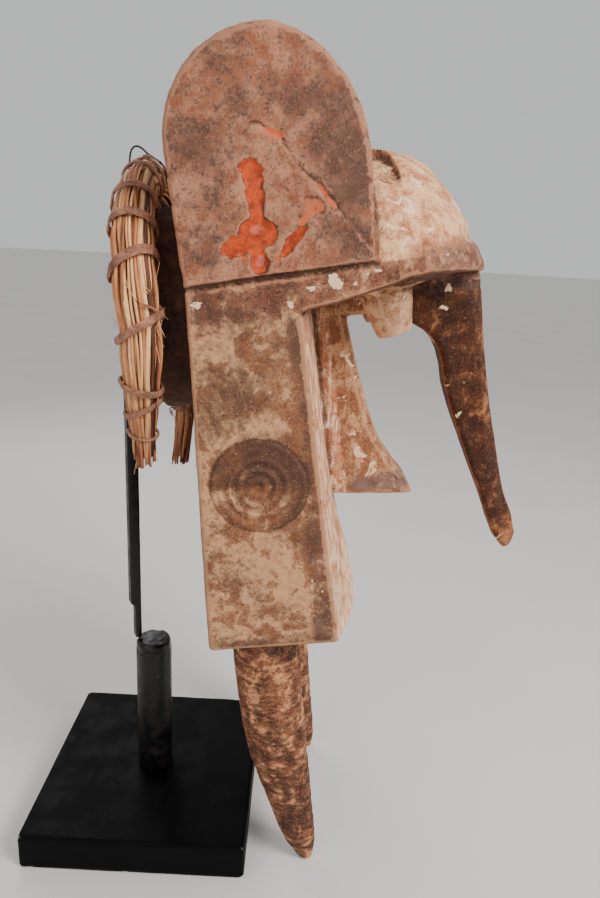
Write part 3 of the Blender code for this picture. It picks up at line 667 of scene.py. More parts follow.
# How sharp the crust's islands are, and how many pale patches are scattered on each part
CRISP_ELSEWHERE = 0.80
CRISP = (("dome", 0.55), ("ear", 0.14), ("rear", 0.3), ("inside", 0.3), ("trunk", 0.7), ("tusk", 0.8))
PATCHY = (("brow", 0.45), ("eye", 0.45), ("panel", 0.40), ("nose", 0.75), ("trunk", 0.62), ("inside", -0.3),
          ("ear", -1.0))


def base_tones(region, count):
    """Tones, crust and soot of each part, with painted shade in the under, rear and inside parts, laid over
    each other in the order of the table.
    """
    tones = np.zeros((count, 9))
    crust, soot = np.zeros(count), np.zeros(count)
    for k, (name, wood, pale, dark, much, dirt) in enumerate(TONES):
        weight = np.ones(count) if k == 0 else region[name]
        values = np.array(linear(*wood) + linear(*pale) + linear(*dark))
        tones += weight[:, None] * (values - tones)
        crust += weight * (much - crust)
        soot += weight * (dirt - soot)
    return tones, crust, soot


def disc_marks(p, panel):
    """The disc, its upper half, its right side and the lower right of its rim."""
    x, z = p[:, 0] - DISC[0], p[:, 2] - DISC[1]
    r = np.hypot(x, z)
    disc = panel * (1 - ease(r, DISC[2] - 0.001, DISC[2] + 0.002))
    upper = ease(z, -0.001, 0.002)
    right = ease(x + 0.5 * z, -0.010, 0.022)
    rim = panel * hump(r, DISC[2] - 0.0020, 0.0035) * ease(x - 0.6 * z, 0.0, 0.02)
    return disc, upper, right, rim


def front_edge_of(p, panel):
    """Broken dark strip along the panel's front edge, wider below."""
    x, z = p[:, 0], p[:, 2]
    corner = corner_x(z)
    reach = 0.0085 + 0.0080 * (1 - ease(z, 0.33, 0.37)) + 0.003 * fractal(p, 0.020, 95)
    strip = panel * band(x, corner - reach, corner - 0.0030, 0.0024)
    return strip * np.clip(0.15 + 1.3 * noise(p, 0.011, 97), 0.0, 1.0)


def paint_mask(mesh):
    """Store each part's three tones, how much crust and soot it carries, with painted shade and painted
    highlights among them, and its marks, for the material.
    """
    points, normals, edges = read_points(mesh), read_normals(mesh), read_edges(mesh)
    p, n = to_mask(points), to_mask(normals + np.array([bpy.context.scene.mask_looks.pivot_x, 0.0, 0.0]))
    region = mask_regions(p, n)
    x, y, z = p.T
    count = len(p)
    ear, panel, trunk, tusk = (region[name] for name in ("ear", "panel", "trunk", "tusk"))
    near = ear * (y < 0)
    over_seam = z - region["seam"]
    side_face = np.abs(n[:, 1])
    tones, crust, soot = base_tones(region, count)
    disc, upper, right, disc_rim = disc_marks(p, panel)
    front_edge = front_edge_of(p, panel)
    foot_edge = panel * band(z, BOX_BOTTOM_Z + 0.003, BOX_BOTTOM_Z + 0.009, 0.002)
    high_panel = panel * ease(z, 0.395, 0.425) * (1 - ease(z, 0.47, 0.49)) * ease(-x, -0.03, 0.03)
    patches = spots(x, z, PANEL_PALE) + 0.5 * fractal(p, 0.014, 99)
    rim = region["above"] * (1 - ease(over_seam, 0.001, 0.009)) * ease(x, 0.10, 0.13)
    chin = region["front"] * (1 - ease(z, 0.285, 0.300))
    worn_tip = tusk * (1 - ease(z, 0.004, 0.016))

    # Where dirt and painted shade lie: weight, darkening that it adds as soot and in some rows as painted
    # shade, crust that it adds
    coats_and_shade = (
        (near * ease(spots(x, z, EAR_DARK), 0.0, 0.7), 0.30, 0.0),
        (near * ease(spots(x, z, EAR_PALE), 0.0, 0.7), -0.20, 0.0),
        (ear * (y > 0) * fractal(p, 0.050, 91), 0.14, 0.0),
        (disc, 0.02, -0.08),
        # Painted shade: the disc's upper half is darkened
        (disc * upper, 0.20, -0.22),
        (disc * right, 0.22, 0.0),
        (disc_rim, 0.22, 0.0),
        (front_edge, 0.40, -0.24),
        (foot_edge * (0.3 + 0.9 * noise(p, 0.010, 98)), 0.34, 0.0),
        (panel * ease(x, 0.020, 0.040) * ease(z, 0.28, 0.32), 0.0, -0.12),
        (high_panel, 0.16, 0.0),
        (panel * (1 - ease(z, 0.28, 0.34)), 0.0, 0.12),
        (panel * ease(patches, -0.1, 0.5), 0.0, 0.30),
        (rim, 0.44, -0.32),
        (chin, -0.14, 0.22),
        # Painted light: the trunk's side faces are darkened as shade and its forward faces paled as lit faces
        (trunk * ease(side_face, 0.5, 0.8), 0.08, 0.0),
        (trunk * ease(n[:, 0], 0.3, 0.8), 0.0, 0.22),
        (trunk * ease(0.36 - z, 0.0, 0.06), 0.0, 0.10),
        (tusk * ease(0.17 - z, 0.0, 0.12), 0.20, 0.0),
        (worn_tip, -0.5, 0.3),
        (above_break(p) * ease(n[:, 2], 0.3, 0.8), 0.22, 0.0),
        # Painted shade: the inside and rear parts are darkened more towards the front
        ((region["inside"] + region["rear"]) * ease(x, 0.0, 0.06), 0.10, 0.0),
    )
    for weight, dirt, pale in coats_and_shade:
        soot += dirt * weight
        crust += pale * weight
    # Darker disc: painted shade on its upper half, and darker on its right side
    tones[:, 0:6] *= 1 - 0.30 * (disc * np.maximum(upper, right))[:, None]

    edge = bend_of(points, normals, edges, 10)
    # Paler convex edges: rubbed wear together with a painted highlight on the edges
    wear = ease(edge, 0.00012, 0.00055) * (1 - 0.75 * disc) * (1 - 0.85 * tusk)
    wear *= 1 - 0.7 * trunk * ease(side_face, 0.4, 0.7)
    # Painted shade in hollows, and a painted shadow along the seam under each ear
    seam_shadow = hump(over_seam, 0.0, 0.0016) * (np.abs(y) > PANEL_Y - 0.004) * (x < 0.094)
    hollow_shade = np.clip(ease(-edge, 0.00010, 0.00050) * (1 - 0.55 * disc) + 1.3 * seam_shadow, 0.0, 1.0)

    deep, thin = flaked(p)
    orange = near * ease(deep, -0.20, 0.20)
    thin_orange = near * ease(thin, -0.30, 0.45)
    # Painted sheen on the flaked places
    pink = near * ease(spots(x, z, PAINTED_PINK_SHEEN), 0.0, 0.6)
    white_marks = (1 - ear) * np.clip(0.5 + 1.2 * spots(x, z, WHITE_SPOTS), 0.0, 1.0)
    white_marks *= (np.abs(y) > 0.085) * (z > 0.49)
    from_ring = np.hypot(x - RING[0], z - RING[1]) - 0.0010 * fractal(p, 0.008, 93)
    ring = 0.8 * near * hump(from_ring, RING[2], 0.0007)

    plain_front = region["front"] * (1 - trunk) * (1 - region["nose"]) * (1 - region["eye"])
    grain = np.clip(plain_front + 0.5 * (region["nose"] + region["eye"] + trunk), 0.0, 1.0)
    scoop = region["nose"] * band(z, 0.333, 0.349, 0.003) * ease(x, 0.062, 0.075)
    grey_chin = region["front"] * band(z, 0.255, 0.292, 0.006) * ease(np.abs(y), 0.05, 0.09)
    roll = 0.8 * region["brow"] * ease(x, 0.11, 0.14)
    blue = np.clip(rim + roll + 0.55 * front_edge + 0.5 * grey_chin, 0.0, 1.0)
    crisp = np.full(count, CRISP_ELSEWHERE)
    for name, amount in CRISP:
        crisp += region[name] * (amount - crisp)
    patchy = 0.9 * region["dome"] * (1 - rim) + 0.55 * plain_front
    for name, amount in PATCHY:
        patchy += amount * region[name]

    stored = {
        "amounts": tuple(np.clip(value, 0.0, 1.0) for value in (crust, soot, wear)),
        # Third channel of the marks: painted shade in hollows and along the seam
        "marks": (orange, white_marks, hollow_shade),
        # Third channel of the grain: the painted pink sheen
        "grain": (grain, tusk, pink),
        "tints": (thin_orange, scoop, blue),
        "islands": (crisp, np.clip(patchy, 0.0, 1.0), ring),
    }
    for k, name in enumerate(("wood", "crust", "soot")):
        set_colors(mesh, name, tones[:, 3 * k:3 * k + 3])
    for name, values in stored.items():
        set_colors(mesh, name, np.stack(values, axis=1))


def mask_material():
    """Wood under a broken crust of pale earth and soot, with painted shade and highlights, and each part's
    tones read from the mesh.
    """
    looks = bpy.context.scene.mask_looks
    s = Shade("crusted_wood_surface")
    here = s.place((0.0, looks.lean, 0.0))
    grain_at = s.place((0.0, looks.lean, 0.0), (1.0, 1.0, 0.10))
    cross_at = s.place((0.0, looks.lean, 0.0), (0.35, 0.35, 1.0))
    crust_amount, soot_and_shade_amount, wear = s.channels("amounts")
    orange, white, hollow_shade = s.channels("marks")
    grain_share, tusk_share, pink = s.channels("grain")
    crisp, patchy, ring = s.channels("islands")

    broad = s.noise(here, 60.0, 3.0, 0.60, 0.6)
    middle = s.noise(here, 120.0, 4.0, 0.6, 0.3)
    fine = s.noise(here, 230.0, 5.0, 0.70)
    speck = s.noise(here, 640.0, 3.0, 0.65)
    smoke = s.noise(here, 26.0, 4.0, 0.58, 0.6)
    fibre = s.noise(grain_at, 420.0, 4.0, 0.6)
    hack = s.noise(cross_at, 260.0, 4.0, 0.65)

    # The crust lies in crisp islands over a thin wash
    flakes = s.mixed(broad, 0.66, middle, 0.34)
    fibres = s.swing(fibre, s.times(grain_share, 0.55))
    flakes = s.plus(flakes, fibres)
    level = s.minus(0.66, s.times(crust_amount, 0.30))
    over = s.minus(flakes, level)
    thin = s.step(s.plus(over, s.swing(fine, 0.5)), -0.14, 0.12, 0.0, 0.62)
    crust_mask = s.times(s.step(over, 0.0, 0.014), crisp)

    # Soot lies in soft clouds, and across the cuts of the tusks; its amount also carries painted shade
    dirt = s.mixed(smoke, 0.50, fine, 0.50)
    cuts = s.swing(hack, s.times(tusk_share, 0.9))
    dirt = s.plus(dirt, cuts)
    dirt_level = s.minus(0.70, s.times(soot_and_shade_amount, 0.36))
    soot_and_shade_mask = s.step(s.minus(dirt, dirt_level), -0.09, 0.09)

    # Colours from the wood up to the soot, the rubbed and highlit edges, the painted shade in hollows and the
    # grey marks
    wood = s.color("wood")
    pale = s.color("crust")
    dark = s.color("soot")
    thin_orange, scoop, blue = s.channels("tints")
    red = s.stained(wood, 226, 204, 190)
    warm = s.blend(s.step(fine, 0.38, 0.60), red, wood)
    base = s.blend(thin, warm, pale)
    grit = s.step(s.mixed(speck, 0.6, fine, 0.4), 0.50, 0.60, 0.0, 0.62)
    base = s.blend(grit, base, dark)
    island = s.blend(s.step(fine, 0.3, 0.62, 0.0, 0.3), pale, wood)
    base = s.blend(s.times(crust_mask, 0.86), base, island)
    between = s.step(s.noise(here, 95.0, 4.0, 0.6, 0.6), 0.50, 0.62, 0.0, 0.45)
    base = s.blend(between, base, s.stained(base, 212, 190, 180))
    base = s.blend(s.times(soot_and_shade_mask, 0.74), base, dark)
    worn_and_highlit_tone = s.blend(0.55, wood, pale)
    # Edges paled for rubbed wear and as a painted highlight
    rubbed = s.step(s.plus(wear, s.times(fine, 0.6)), 0.66, 0.98, 0.0, 0.6)
    base = s.blend(rubbed, base, worn_and_highlit_tone)
    # Painted shade in hollows and along the seam under the ear
    base = s.blend(s.times(hollow_shade, 0.80), base, s.stained(dark, 140, 120, 115))
    base = s.blend(s.step(speck, 0.42, 0.32, 0.0, 0.35), base, pale)
    streaks = s.times(s.step(fibre, 0.52, 0.60, 0.0, 0.75), s.step(grain_share, 0.7, 1.0))
    base = s.blend(s.times(streaks, s.step(broad, 0.42, 0.56)), base, linear(255, 232, 206))
    chalk = s.times(blue, s.step(fine, 0.40, 0.60, 0.35, 0.85))
    base = s.blend(s.times(chalk, s.step(broad, 0.38, 0.56, 0.25, 0.8)), base, linear(88, 66, 68))
    grey = s.times(scoop, s.step(fine, 0.35, 0.6, 0.3, 0.75))
    base = s.blend(grey, base, linear(128, 104, 100))

    # Flaked places of the near ear, with a painted shadow along their edges and a painted pink sheen
    jag = s.swing(fine, 1.1)
    ragged = s.plus(orange, jag)
    orange_mask = s.step(ragged, 0.50, 0.58)
    orange_tone = s.blend(s.step(middle, 0.34, 0.62), linear(138, 42, 8), linear(210, 74, 18))
    orange_tone = s.blend(s.step(speck, 0.52, 0.66, 0.0, 0.4), orange_tone, linear(110, 40, 20))
    base = s.blend(s.times(orange_mask, 0.95), base, orange_tone)
    stain = s.times(s.step(s.plus(thin_orange, jag), 0.55, 0.85), s.step(broad, 0.36, 0.56, 0.25, 0.85))
    base = s.blend(stain, base, linear(206, 100, 56))
    # Painted shadow along the edges of the flaked places
    flake_edge_shadow = s.times(s.step(ragged, 0.30, 0.46), s.step(ragged, 0.66, 0.52))
    base = s.blend(s.times(flake_edge_shadow, 0.75), base, linear(66, 32, 20))
    # Painted sheen: a pink highlight painted over the orange flakes
    sheen = s.plus(pink, s.swing(fine, 2.4))
    painted_sheen_mask = s.times(s.step(sheen, 0.62, 1.0, 0.0, 0.28), orange_mask)
    base = s.blend(painted_sheen_mask, base, linear(214, 140, 138))
    outline = s.times(ring, s.step(fine, 0.36, 0.56, 0.25, 0.9))
    base = s.blend(outline, base, linear(104, 56, 38))
    # Pale marks by the seam and scattered pale patches
    spot = s.plus(white, s.swing(fine, 1.5))
    patch_level = s.minus(0.80, s.times(patchy, 0.20))
    scattered = s.step(s.minus(s.noise(here, 74.0, 3.0, 0.55, 0.8), patch_level), 0.0, 0.02)
    white_mask = s.calc("MAXIMUM", s.step(spot, 0.70, 0.76), scattered)
    base = s.blend(s.times(white_mask, 0.80), base, linear(255, 222, 184))
    s.give("Base Color", base)

    rough = s.plus(looks.roughness, s.swing(fine, 0.35))
    rough = s.minus(rough, s.times(orange_mask, 0.22), clamp=True)
    s.give("Roughness", rough)
    s.give("Specular IOR Level", 0.32)

    height = s.mixed(crust_mask, 0.50, fine, 0.55)
    height = s.plus(height, s.times(speck, 0.25))
    height = s.plus(height, s.times(fibre, s.times(grain_share, 0.5)))
    height = s.plus(height, s.times(hack, s.times(tusk_share, 0.7)))
    height = s.plus(height, s.times(white_mask, 0.5))
    s.bump(height, 0.0007, 0.8)
    return s.material


class BuildMask(bpy.types.Operator):
    """Carve and paint the wooden mask from a copy of its solid."""
    bl_idname = "elephant_mask.build_mask"
    bl_label = "Mask"

    def execute(self, context):
        looks = context.scene.mask_looks
        mesh = joined_copy(["mask"])
        mesh = through_modifier(mesh, "REMESH", mode="VOXEL", voxel_size=looks.voxel, use_smooth_shade=True)
        edges = read_edges(mesh)
        points = relaxed(read_points(mesh), edges, 1)
        write_points(mesh, points)
        normals = read_normals(mesh)
        p = to_mask(points)
        n = to_mask(normals + np.array([looks.pivot_x, 0.0, 0.0]))
        points = points + normals * carve(p, n, mask_regions(p, n))[:, None]
        write_points(mesh, kept_inside(points, ["mask"]))
        triangles = 2 * len(mesh.polygons)
        if triangles > looks.triangles:
            mesh = through_modifier(mesh, "DECIMATE", ratio=looks.triangles / triangles)
        write_points(mesh, kept_inside(read_points(mesh), ["mask"]))
        paint_mask(mesh)
        add_piece("carved_mask", mesh, mask_material(), ["mask"])
        return {"FINISHED"}


# The hoop of stems

# Lashings: node, share of the way from the crown to the end, width, slant, turns of the vine
LASHINGS = (
    ("lashing_crown", 0.060, 0.0060, 0.0010, 1.15),
    ("lashing_crown_side", 0.125, 0.0060, 0.0020, 1.15),
    ("lashing_shoulder", 0.250, 0.0055, 0.0000, 1.15),
    ("lashing_upper", 0.340, 0.0065, 0.0010, 1.15),
    ("lashing_middle", 0.445, 0.0070, -0.0060, 1.15),
    ("lashing_slanting", 0.608, 0.0055, -0.0070, 1.10),
    ("lashing_lower", 0.765, 0.0045, 0.0055, 1.20),
    ("lashing_lowest", 0.826, 0.0040, -0.0035, 1.20),
    ("lashing_thin", 0.905, 0.0025, 0.0030, 1.10),
    ("lashing_far_upper", -0.182, 0.0065, 0.0030, 1.15),
    ("lashing_far_middle", -0.406, 0.0065, -0.0050, 1.15),
    ("lashing_far_lower", -0.850, 0.0055, -0.0050, 1.20),
)

# Loose ends and knots: lashing, share along the hoop, turn round it in degrees, steps (along, out, round)
# in millimetres, and width
LOOSE_ENDS = (
    ("lashing_slanting", 0.578, 20.0, ((0, 1.5, 0), (-1.6, 1.6, 4), (-3.6, 2.0, 9), (-5.5, 3.2, 15)), 0.0026),
    ("lashing_slanting", 0.560, 12.0, ((0, 2.0, 2), (3, 5.0, 3), (6, 6.0, 4)), 0.0006),
    ("lashing_slanting", 0.565, 8.0, ((0, 2.0, 2), (5, 4.0, 3), (9, 7.0, 2)), 0.0005),
    ("lashing_crown", 0.030, 60.0, ((0, 2, -6), (6, 3, -2), (12, 3, 5), (20, 2, 9)), 0.0014),
    ("lashing_crown_side", 0.100, 80.0, ((0, 2, -9), (-8, 3.4, -4), (-16, 3.4, 3), (-24, 2, 8)), 0.0015),
    ("lashing_lower", 0.800, 25.0, ((-6, 2.2, 0), (0, 3.4, 3), (6, 3.4, 3), (11, 2.0, 0)), 0.0012),
    ("lashing_far_lower", -0.850, 215.0, ((0, 2.4, -4), (-1, 5.0, -1), (1, 5.6, 3), (3, 3.0, 4)), 0.0011),
    ("lashing_far_lower", -0.845, 205.0, ((4, 3.0, -3), (1, 5.8, 0), (-3, 5.2, 2), (-5, 2.6, -2)), 0.0011),
    ("lashing_far_lower", -0.860, 220.0, ((-4, 2.4, 3), (0, 5.2, 2), (4, 4.8, -3), (6, 7.5, -4)), 0.0009),
    ("lashing_far_lower", -0.830, 212.0, ((0, 2.0, 0), (4, 4.0, 2), (9, 5.4, 2), (14, 5.0, 4)), 0.0008),
    ("lashing_far_lower", -0.835, 196.0, ((0, 2.0, 0), (5, 4.6, -1), (11, 5.0, -3), (16, 4.0, -4)), 0.0007),
)


# Layers of the bundle: distance from its middle as a share, and share of the stems
LAYERS = ((0.90, 0.42), (0.70, 0.33), (0.45, 0.25))
STEM_RINGS = 84
STEM_SIDES = 6
FIBRE_RINGS = 14
FIBRE_HALF = (0.00028, 0.0002)
END_RINGS = 22
END_SIDES = 8


def hoop_reach(far=False):
    looks = bpy.context.scene.hoop_looks
    return 0.5 * math.pi * looks.radius + (looks.far_leg if far else looks.leg)


def hoop_place(s, across, out, lift=0.0):
    """World points on the bundle: s along it from the crown, (across, out) in shares of its half sizes."""
    looks = bpy.context.scene.hoop_looks
    lean = bpy.context.scene.mask_looks.lean
    quarter = 0.5 * math.pi * looks.radius
    sign = np.where(s < 0, -1.0, 1.0)
    leg = np.where(s < 0, looks.far_leg, looks.leg)
    pull = np.where(s < 0, looks.far_pull, looks.pull)
    arch = np.abs(s) <= quarter
    t = np.clip((np.abs(s) - quarter) / leg, 0.0, None)
    turn = s / looks.radius
    y = np.where(arch, -looks.radius * np.sin(turn), -sign * looks.radius * (1 - pull * t * t))
    z = np.where(arch, looks.radius * np.cos(turn), -leg * t)
    dy = np.where(arch, -np.cos(turn), 2 * pull * t * looks.radius / leg)
    dz = np.where(arch, -np.sin(turn), -sign)
    size = np.hypot(dy, dz)
    dy, dz = dy / size, dz / size
    out_y, out_z = dz, -dy
    crown = looks.top_squeeze * (1 - ease(np.abs(s), 0.0, 0.7 * quarter))
    end = looks.end_squeeze * ease(np.abs(s), quarter, quarter + leg) ** 1.5
    scale = 1 - crown - end
    reach = np.hypot(across, out)
    unit_a = np.divide(across, reach, out=np.zeros_like(reach), where=reach > 0)
    unit_o = np.divide(out, reach, out=np.zeros_like(reach), where=reach > 0)
    a = across * looks.half_x * scale + unit_a * lift
    o = out * looks.half_out * scale + unit_o * lift
    y, z = y + out_y * o, z + out_z * o
    below = np.clip(-z, 0.0, None)
    x = a - looks.bend * math.tan(lean) * below * below / (below + looks.half_out)
    c, sn = math.cos(lean), math.sin(lean)
    return np.stack([looks.x + c * x - sn * z, y, looks.z + sn * x + c * z], axis=-1)


def tube_rings(path, half_wide, half_thick, sides, roll):
    """Rings of an oval section along a path; each ring stands square to the path, turned by the roll."""
    along = unit(np.gradient(path, axis=0))
    first = unit(np.cross(along, np.array([1.0, 0.0, 0.0])))
    second = np.cross(along, first)
    turn = np.linspace(0.0, 2 * math.pi, sides + 1)[:-1]
    c, s = np.cos(roll)[:, None], np.sin(roll)[:, None]
    wide = c * first + s * second
    thick = c * second - s * first
    return (path[:, None, :] + (half_wide[:, None] * np.cos(turn))[..., None] * wide[:, None, :]
            + (half_thick[:, None] * np.sin(turn))[..., None] * thick[:, None, :])


def stem_material():
    looks = bpy.context.scene.hoop_looks
    s = Shade("dry_stem_surface")
    tone, aged_and_shaded, _ = s.channels("stem_tone")
    along = s.attribute("stem_grain").outputs["Vector"]
    streak = s.noise(s.place(scale=(1.0, 1.0, 1.0), source=along), 9.0, 5.0, 0.6)
    fibre = s.noise(s.place(scale=(0.6, 6.0, 3.0), source=along), 14.0, 4.0, 0.65)
    value = s.plus(tone, s.swing(streak, 0.9))
    base = s.blend(s.step(value, 0.05, 0.55), looks.dark[:], looks.brown[:])
    base = s.blend(s.step(value, 0.45, 0.85), base, looks.straw[:])
    base = s.blend(s.step(fibre, 0.56, 0.72, 0.0, 0.55), base, looks.dark[:])
    # Darkening for ageing, and painted shade on the far leg
    base = s.blend(s.times(aged_and_shaded, 0.75), base, s.stained(base, 150, 112, 104))
    s.give("Base Color", base)
    s.give("Roughness", 0.55)
    s.give("Specular IOR Level", 0.4)
    s.bump(fibre, 0.0004, 0.8)
    return s.material


class BuildHoop(bpy.types.Operator):
    """Bend the bundle of dry stems into the hoop."""
    bl_idname = "elephant_mask.build_hoop"
    bl_label = "Hoop"

    def execute(self, context):
        looks = context.scene.hoop_looks
        rng = np.random.default_rng(20)
        near, far = hoop_reach(), hoop_reach(far=True)
        ties = np.array([row[1] * (near if row[1] > 0 else far) for row in LASHINGS])
        grids, tones, grains = [], [], []
        rings, sides = STEM_RINGS, STEM_SIDES
        for reach, share in LAYERS:
            count = int(round(share * looks.stems))
            for k in range(count):
                turn = 2 * math.pi * (k + rng.uniform(-0.35, 0.35)) / count
                start = -far + 0.040 * rng.random() ** 2
                stop = near - 0.030 * rng.random() ** 2
                if rng.random() < 0.18:
                    start = rng.uniform(-0.8, 0.1) * far
                if rng.random() < 0.14:
                    stop = rng.uniform(0.35, 0.8) * near
                s = np.linspace(start, stop, rings)
                at = triples(s, 7.1 * k, 31.0 * reach)
                angle = turn + 0.55 * fractal(at, 0.11, 5, 2) + 0.10 * fractal(at, 0.030, 6, 1)
                tie = np.min(np.abs(s[:, None] - ties[None, :]), axis=1)
                swell = 1.0 + 0.055 * ease(tie, 0.004, 0.022) - 0.045 * (1 - ease(tie, 0.0, 0.010))
                radius = reach * swell + 0.05 * fractal(at, 0.06, 7, 2)
                reach_end = np.where(s < 0, far, near)
                loose = ease(np.abs(s), reach_end - 0.035, reach_end) * rng.uniform(-0.15, 0.5)
                radius = np.minimum(radius * (1 + loose), 1.0 + 0.25 * loose)
                path = hoop_place(s, radius * np.cos(angle), radius * np.sin(angle))
                size = 0.5 * looks.stem * rng.uniform(0.65, 1.35)
                flat = rng.uniform(0.55, 0.95)
                taper = 1 - 0.65 * ease(np.abs(s), 0.86 * reach_end, reach_end) * rng.random() ** 0.6
                wide = size * taper * (1 + 0.12 * fractal(at, 0.020, 8, 2))
                roll = angle + rng.uniform(-0.4, 0.4) + 1.5 * fractal(at, 0.12, 9, 1)
                grids.append(tube_rings(path, wide, flat * wide, sides, roll))
                value = np.clip(rng.normal(0.62, 0.19), 0.05, 0.98) - 0.25 * (reach < 0.6)
                age_and_shade = 0.60 * (1 - ease(np.abs(s), 0.25 * near, 0.40 * near))
                age_and_shade = np.maximum(age_and_shade, ease(np.abs(s), 0.55 * reach_end, reach_end))
                # Painted shade: the whole far leg is darkened
                age_and_shade = np.where(s < 0, np.maximum(age_and_shade, 0.8), age_and_shade)
                tones.append(np.repeat(triples(value, age_and_shade, 0.0)[:, None], sides, 1))
                around = np.linspace(0.0, 1.0, sides + 1)[:-1]
                grains.append(triples(s[:, None] * 6.0, around[None, :] * 0.5 + k, reach))
        for k in range(looks.fibres):
            place_at = rng.choice([0.98, -0.97, 0.62, 0.66, -0.90, 0.5]) * near
            angle = rng.uniform(0.0, 2 * math.pi)
            s = place_at + np.linspace(0.0, rng.uniform(0.006, 0.016), FIBRE_RINGS) * rng.choice([-1.0, 1.0])
            lift = np.linspace(-0.0015, rng.uniform(0.0008, 0.0042), FIBRE_RINGS)
            turn = angle + np.linspace(0.0, rng.uniform(-0.5, 0.5), FIBRE_RINGS)
            path = hoop_place(s, np.cos(turn), np.sin(turn), lift)
            wide, thick = (np.full(FIBRE_RINGS, half) for half in FIBRE_HALF)
            grids.append(tube_rings(path, wide, thick, sides, turn))
            tones.append(np.full((FIBRE_RINGS, sides, 3), (0.75, 0.2, 0.0)))
            grains.append(triples(s[:, None] * 6.0, np.linspace(0, 0.5, sides)[None], 50.0 + k))
        mesh = grid_mesh("stems", grids)
        write_points(mesh, kept_inside(read_points(mesh), ["head_ring"]))
        set_colors(mesh, "stem_tone", np.clip(np.concatenate([t.reshape(-1, 3) for t in tones]), 0.0, 1.0))
        set_vectors(mesh, "stem_grain", np.concatenate([g.reshape(-1, 3) for g in grains]))
        add_piece("stem_hoop", mesh, stem_material(), ["head_ring"])
        return {"FINISHED"}


# The lashings

def vine_section(half_wide, half_thick, rib):
    """Flat section of a vine: a squashed oval with shallow ribs across its outer face."""
    turn = np.linspace(0.0, 2 * math.pi, 19)[:-1]
    wide = half_wide * np.sign(np.cos(turn)) * np.abs(np.cos(turn)) ** 0.7
    thick = half_thick * np.sign(np.sin(turn)) * np.abs(np.sin(turn)) ** 0.6
    thick = thick - rib * (0.5 + 0.5 * np.cos(wide / half_wide * 2.6 * math.pi)) * (turn < math.pi)
    return wide, thick


def loose_end(share, angle, steps_mm, size):
    """Free end of a vine: a tapering oval tube through points given along, off and round the bundle."""
    looks = bpy.context.scene.hoop_looks
    knots = np.array(steps_mm, dtype=float) / 1000.0
    t = np.linspace(0.0, len(knots) - 1.0, END_RINGS)
    weights = np.array([1.0, 2.0, 3.0, 2.0, 1.0]) / 9.0
    lines = (np.interp(t, np.arange(len(knots)), knots[:, k]) for k in range(3))
    along, off, around = (np.convolve(np.pad(line, 2, mode="edge"), weights, "valid") for line in lines)
    turn = math.radians(angle) + around / looks.half_out
    s = share * hoop_reach(far=share < 0) + along
    path = hoop_place(s, np.cos(turn), np.sin(turn), off)
    width = 0.5 * size * (1 - 0.35 * ease(t, 0.6 * t[-1], t[-1]))
    ring = tube_rings(path, width, 0.7 * width, END_SIDES, turn)
    grain = triples(t[:, None], np.linspace(0.0, 0.4, END_SIDES)[None], angle)
    return ring, grain.reshape(-1, 3)


def vine_material():
    looks = bpy.context.scene.lashing_looks
    s = Shade("flat_vine_surface")
    along = s.attribute("vine_grain").outputs["Vector"]
    streak = s.noise(s.place(scale=(1.0, 5.0, 1.0), source=along), 6.0, 5.0, 0.6)
    blotch = s.noise(s.place(), 130.0, 5.0, 0.65, 0.5)
    value = s.mixed(streak, 0.6, blotch, 0.4)
    base = s.blend(s.step(value, 0.38, 0.62), looks.deep[:], looks.pale[:])
    base = s.blend(s.step(blotch, 0.60, 0.72, 0.0, 0.5), base, linear(205, 164, 138))
    s.give("Base Color", base)
    s.give("Roughness", 0.62)
    s.give("Specular IOR Level", 0.35)
    s.bump(s.plus(streak, s.times(blotch, 0.5)), 0.0004, 0.8)
    return s.material


class BuildLashings(bpy.types.Operator):
    """Wind the flat vines round the hoop."""
    bl_idname = "elephant_mask.build_lashings"
    bl_label = "Lashings"

    def execute(self, context):
        looks = context.scene.lashing_looks
        mat = vine_material()
        for k, (name, share, width, slant, turns) in enumerate(LASHINGS):
            steps = int(72 * turns)
            turn = np.linspace(-0.15, 2 * math.pi * turns - 0.15, steps) + math.pi
            at = triples(turn, 5.3 * k, 0.0)
            half = hoop_reach(far=share < 0)
            s = share * half + slant * np.cos(turn) + 0.0008 * fractal(at, 1.3, 12)
            s = s + 0.35 * width * (turn - math.pi) / (2 * math.pi)
            over = ease(turn, 3 * math.pi - 0.4, 3 * math.pi + 0.1)
            lift = 0.0004 + looks.thickness * (0.5 + 0.85 * over) + 0.0003 * fractal(at, 0.8, 14)
            ends = np.minimum(np.arange(steps), np.arange(steps)[::-1]) / 5.0
            close = np.clip(ends, 0.35, 1.0)
            centre = hoop_place(s, np.cos(turn), np.sin(turn), lift)
            skin = hoop_place(s, np.cos(turn), np.sin(turn), lift + 0.001)
            along = unit(np.gradient(centre, axis=0))
            wide_way = unit(np.cross(along, unit(skin - centre)))
            normal = np.cross(wide_way, along)
            wide, thick = vine_section(0.5 * width, 0.5 * looks.thickness, looks.rib)
            vary = (1 + 0.14 * fractal(at, 0.9, 15))[:, None] * close[:, None]
            grid = (centre[:, None] + (wide[None] * vary)[..., None] * wide_way[:, None]
                    + (thick[None] * close[:, None])[..., None] * normal[:, None])
            grain = triples(turn[:, None] * 0.8, wide[None] / width, 3.7 * k)
            grids, grains = [grid], [grain.reshape(-1, 3)]
            for _, place_at, angle, steps_mm, thick_mm in (row for row in LOOSE_ENDS if row[0] == name):
                end, end_grain = loose_end(place_at, angle, steps_mm, thick_mm)
                grids.append(end)
                grains.append(end_grain)
            mesh = grid_mesh(name + "_vine", grids)
            set_vectors(mesh, "vine_grain", np.concatenate(grains))
            add_piece(name + "_vine", mesh, mat, [name])
        return {"FINISHED"}


# The stand

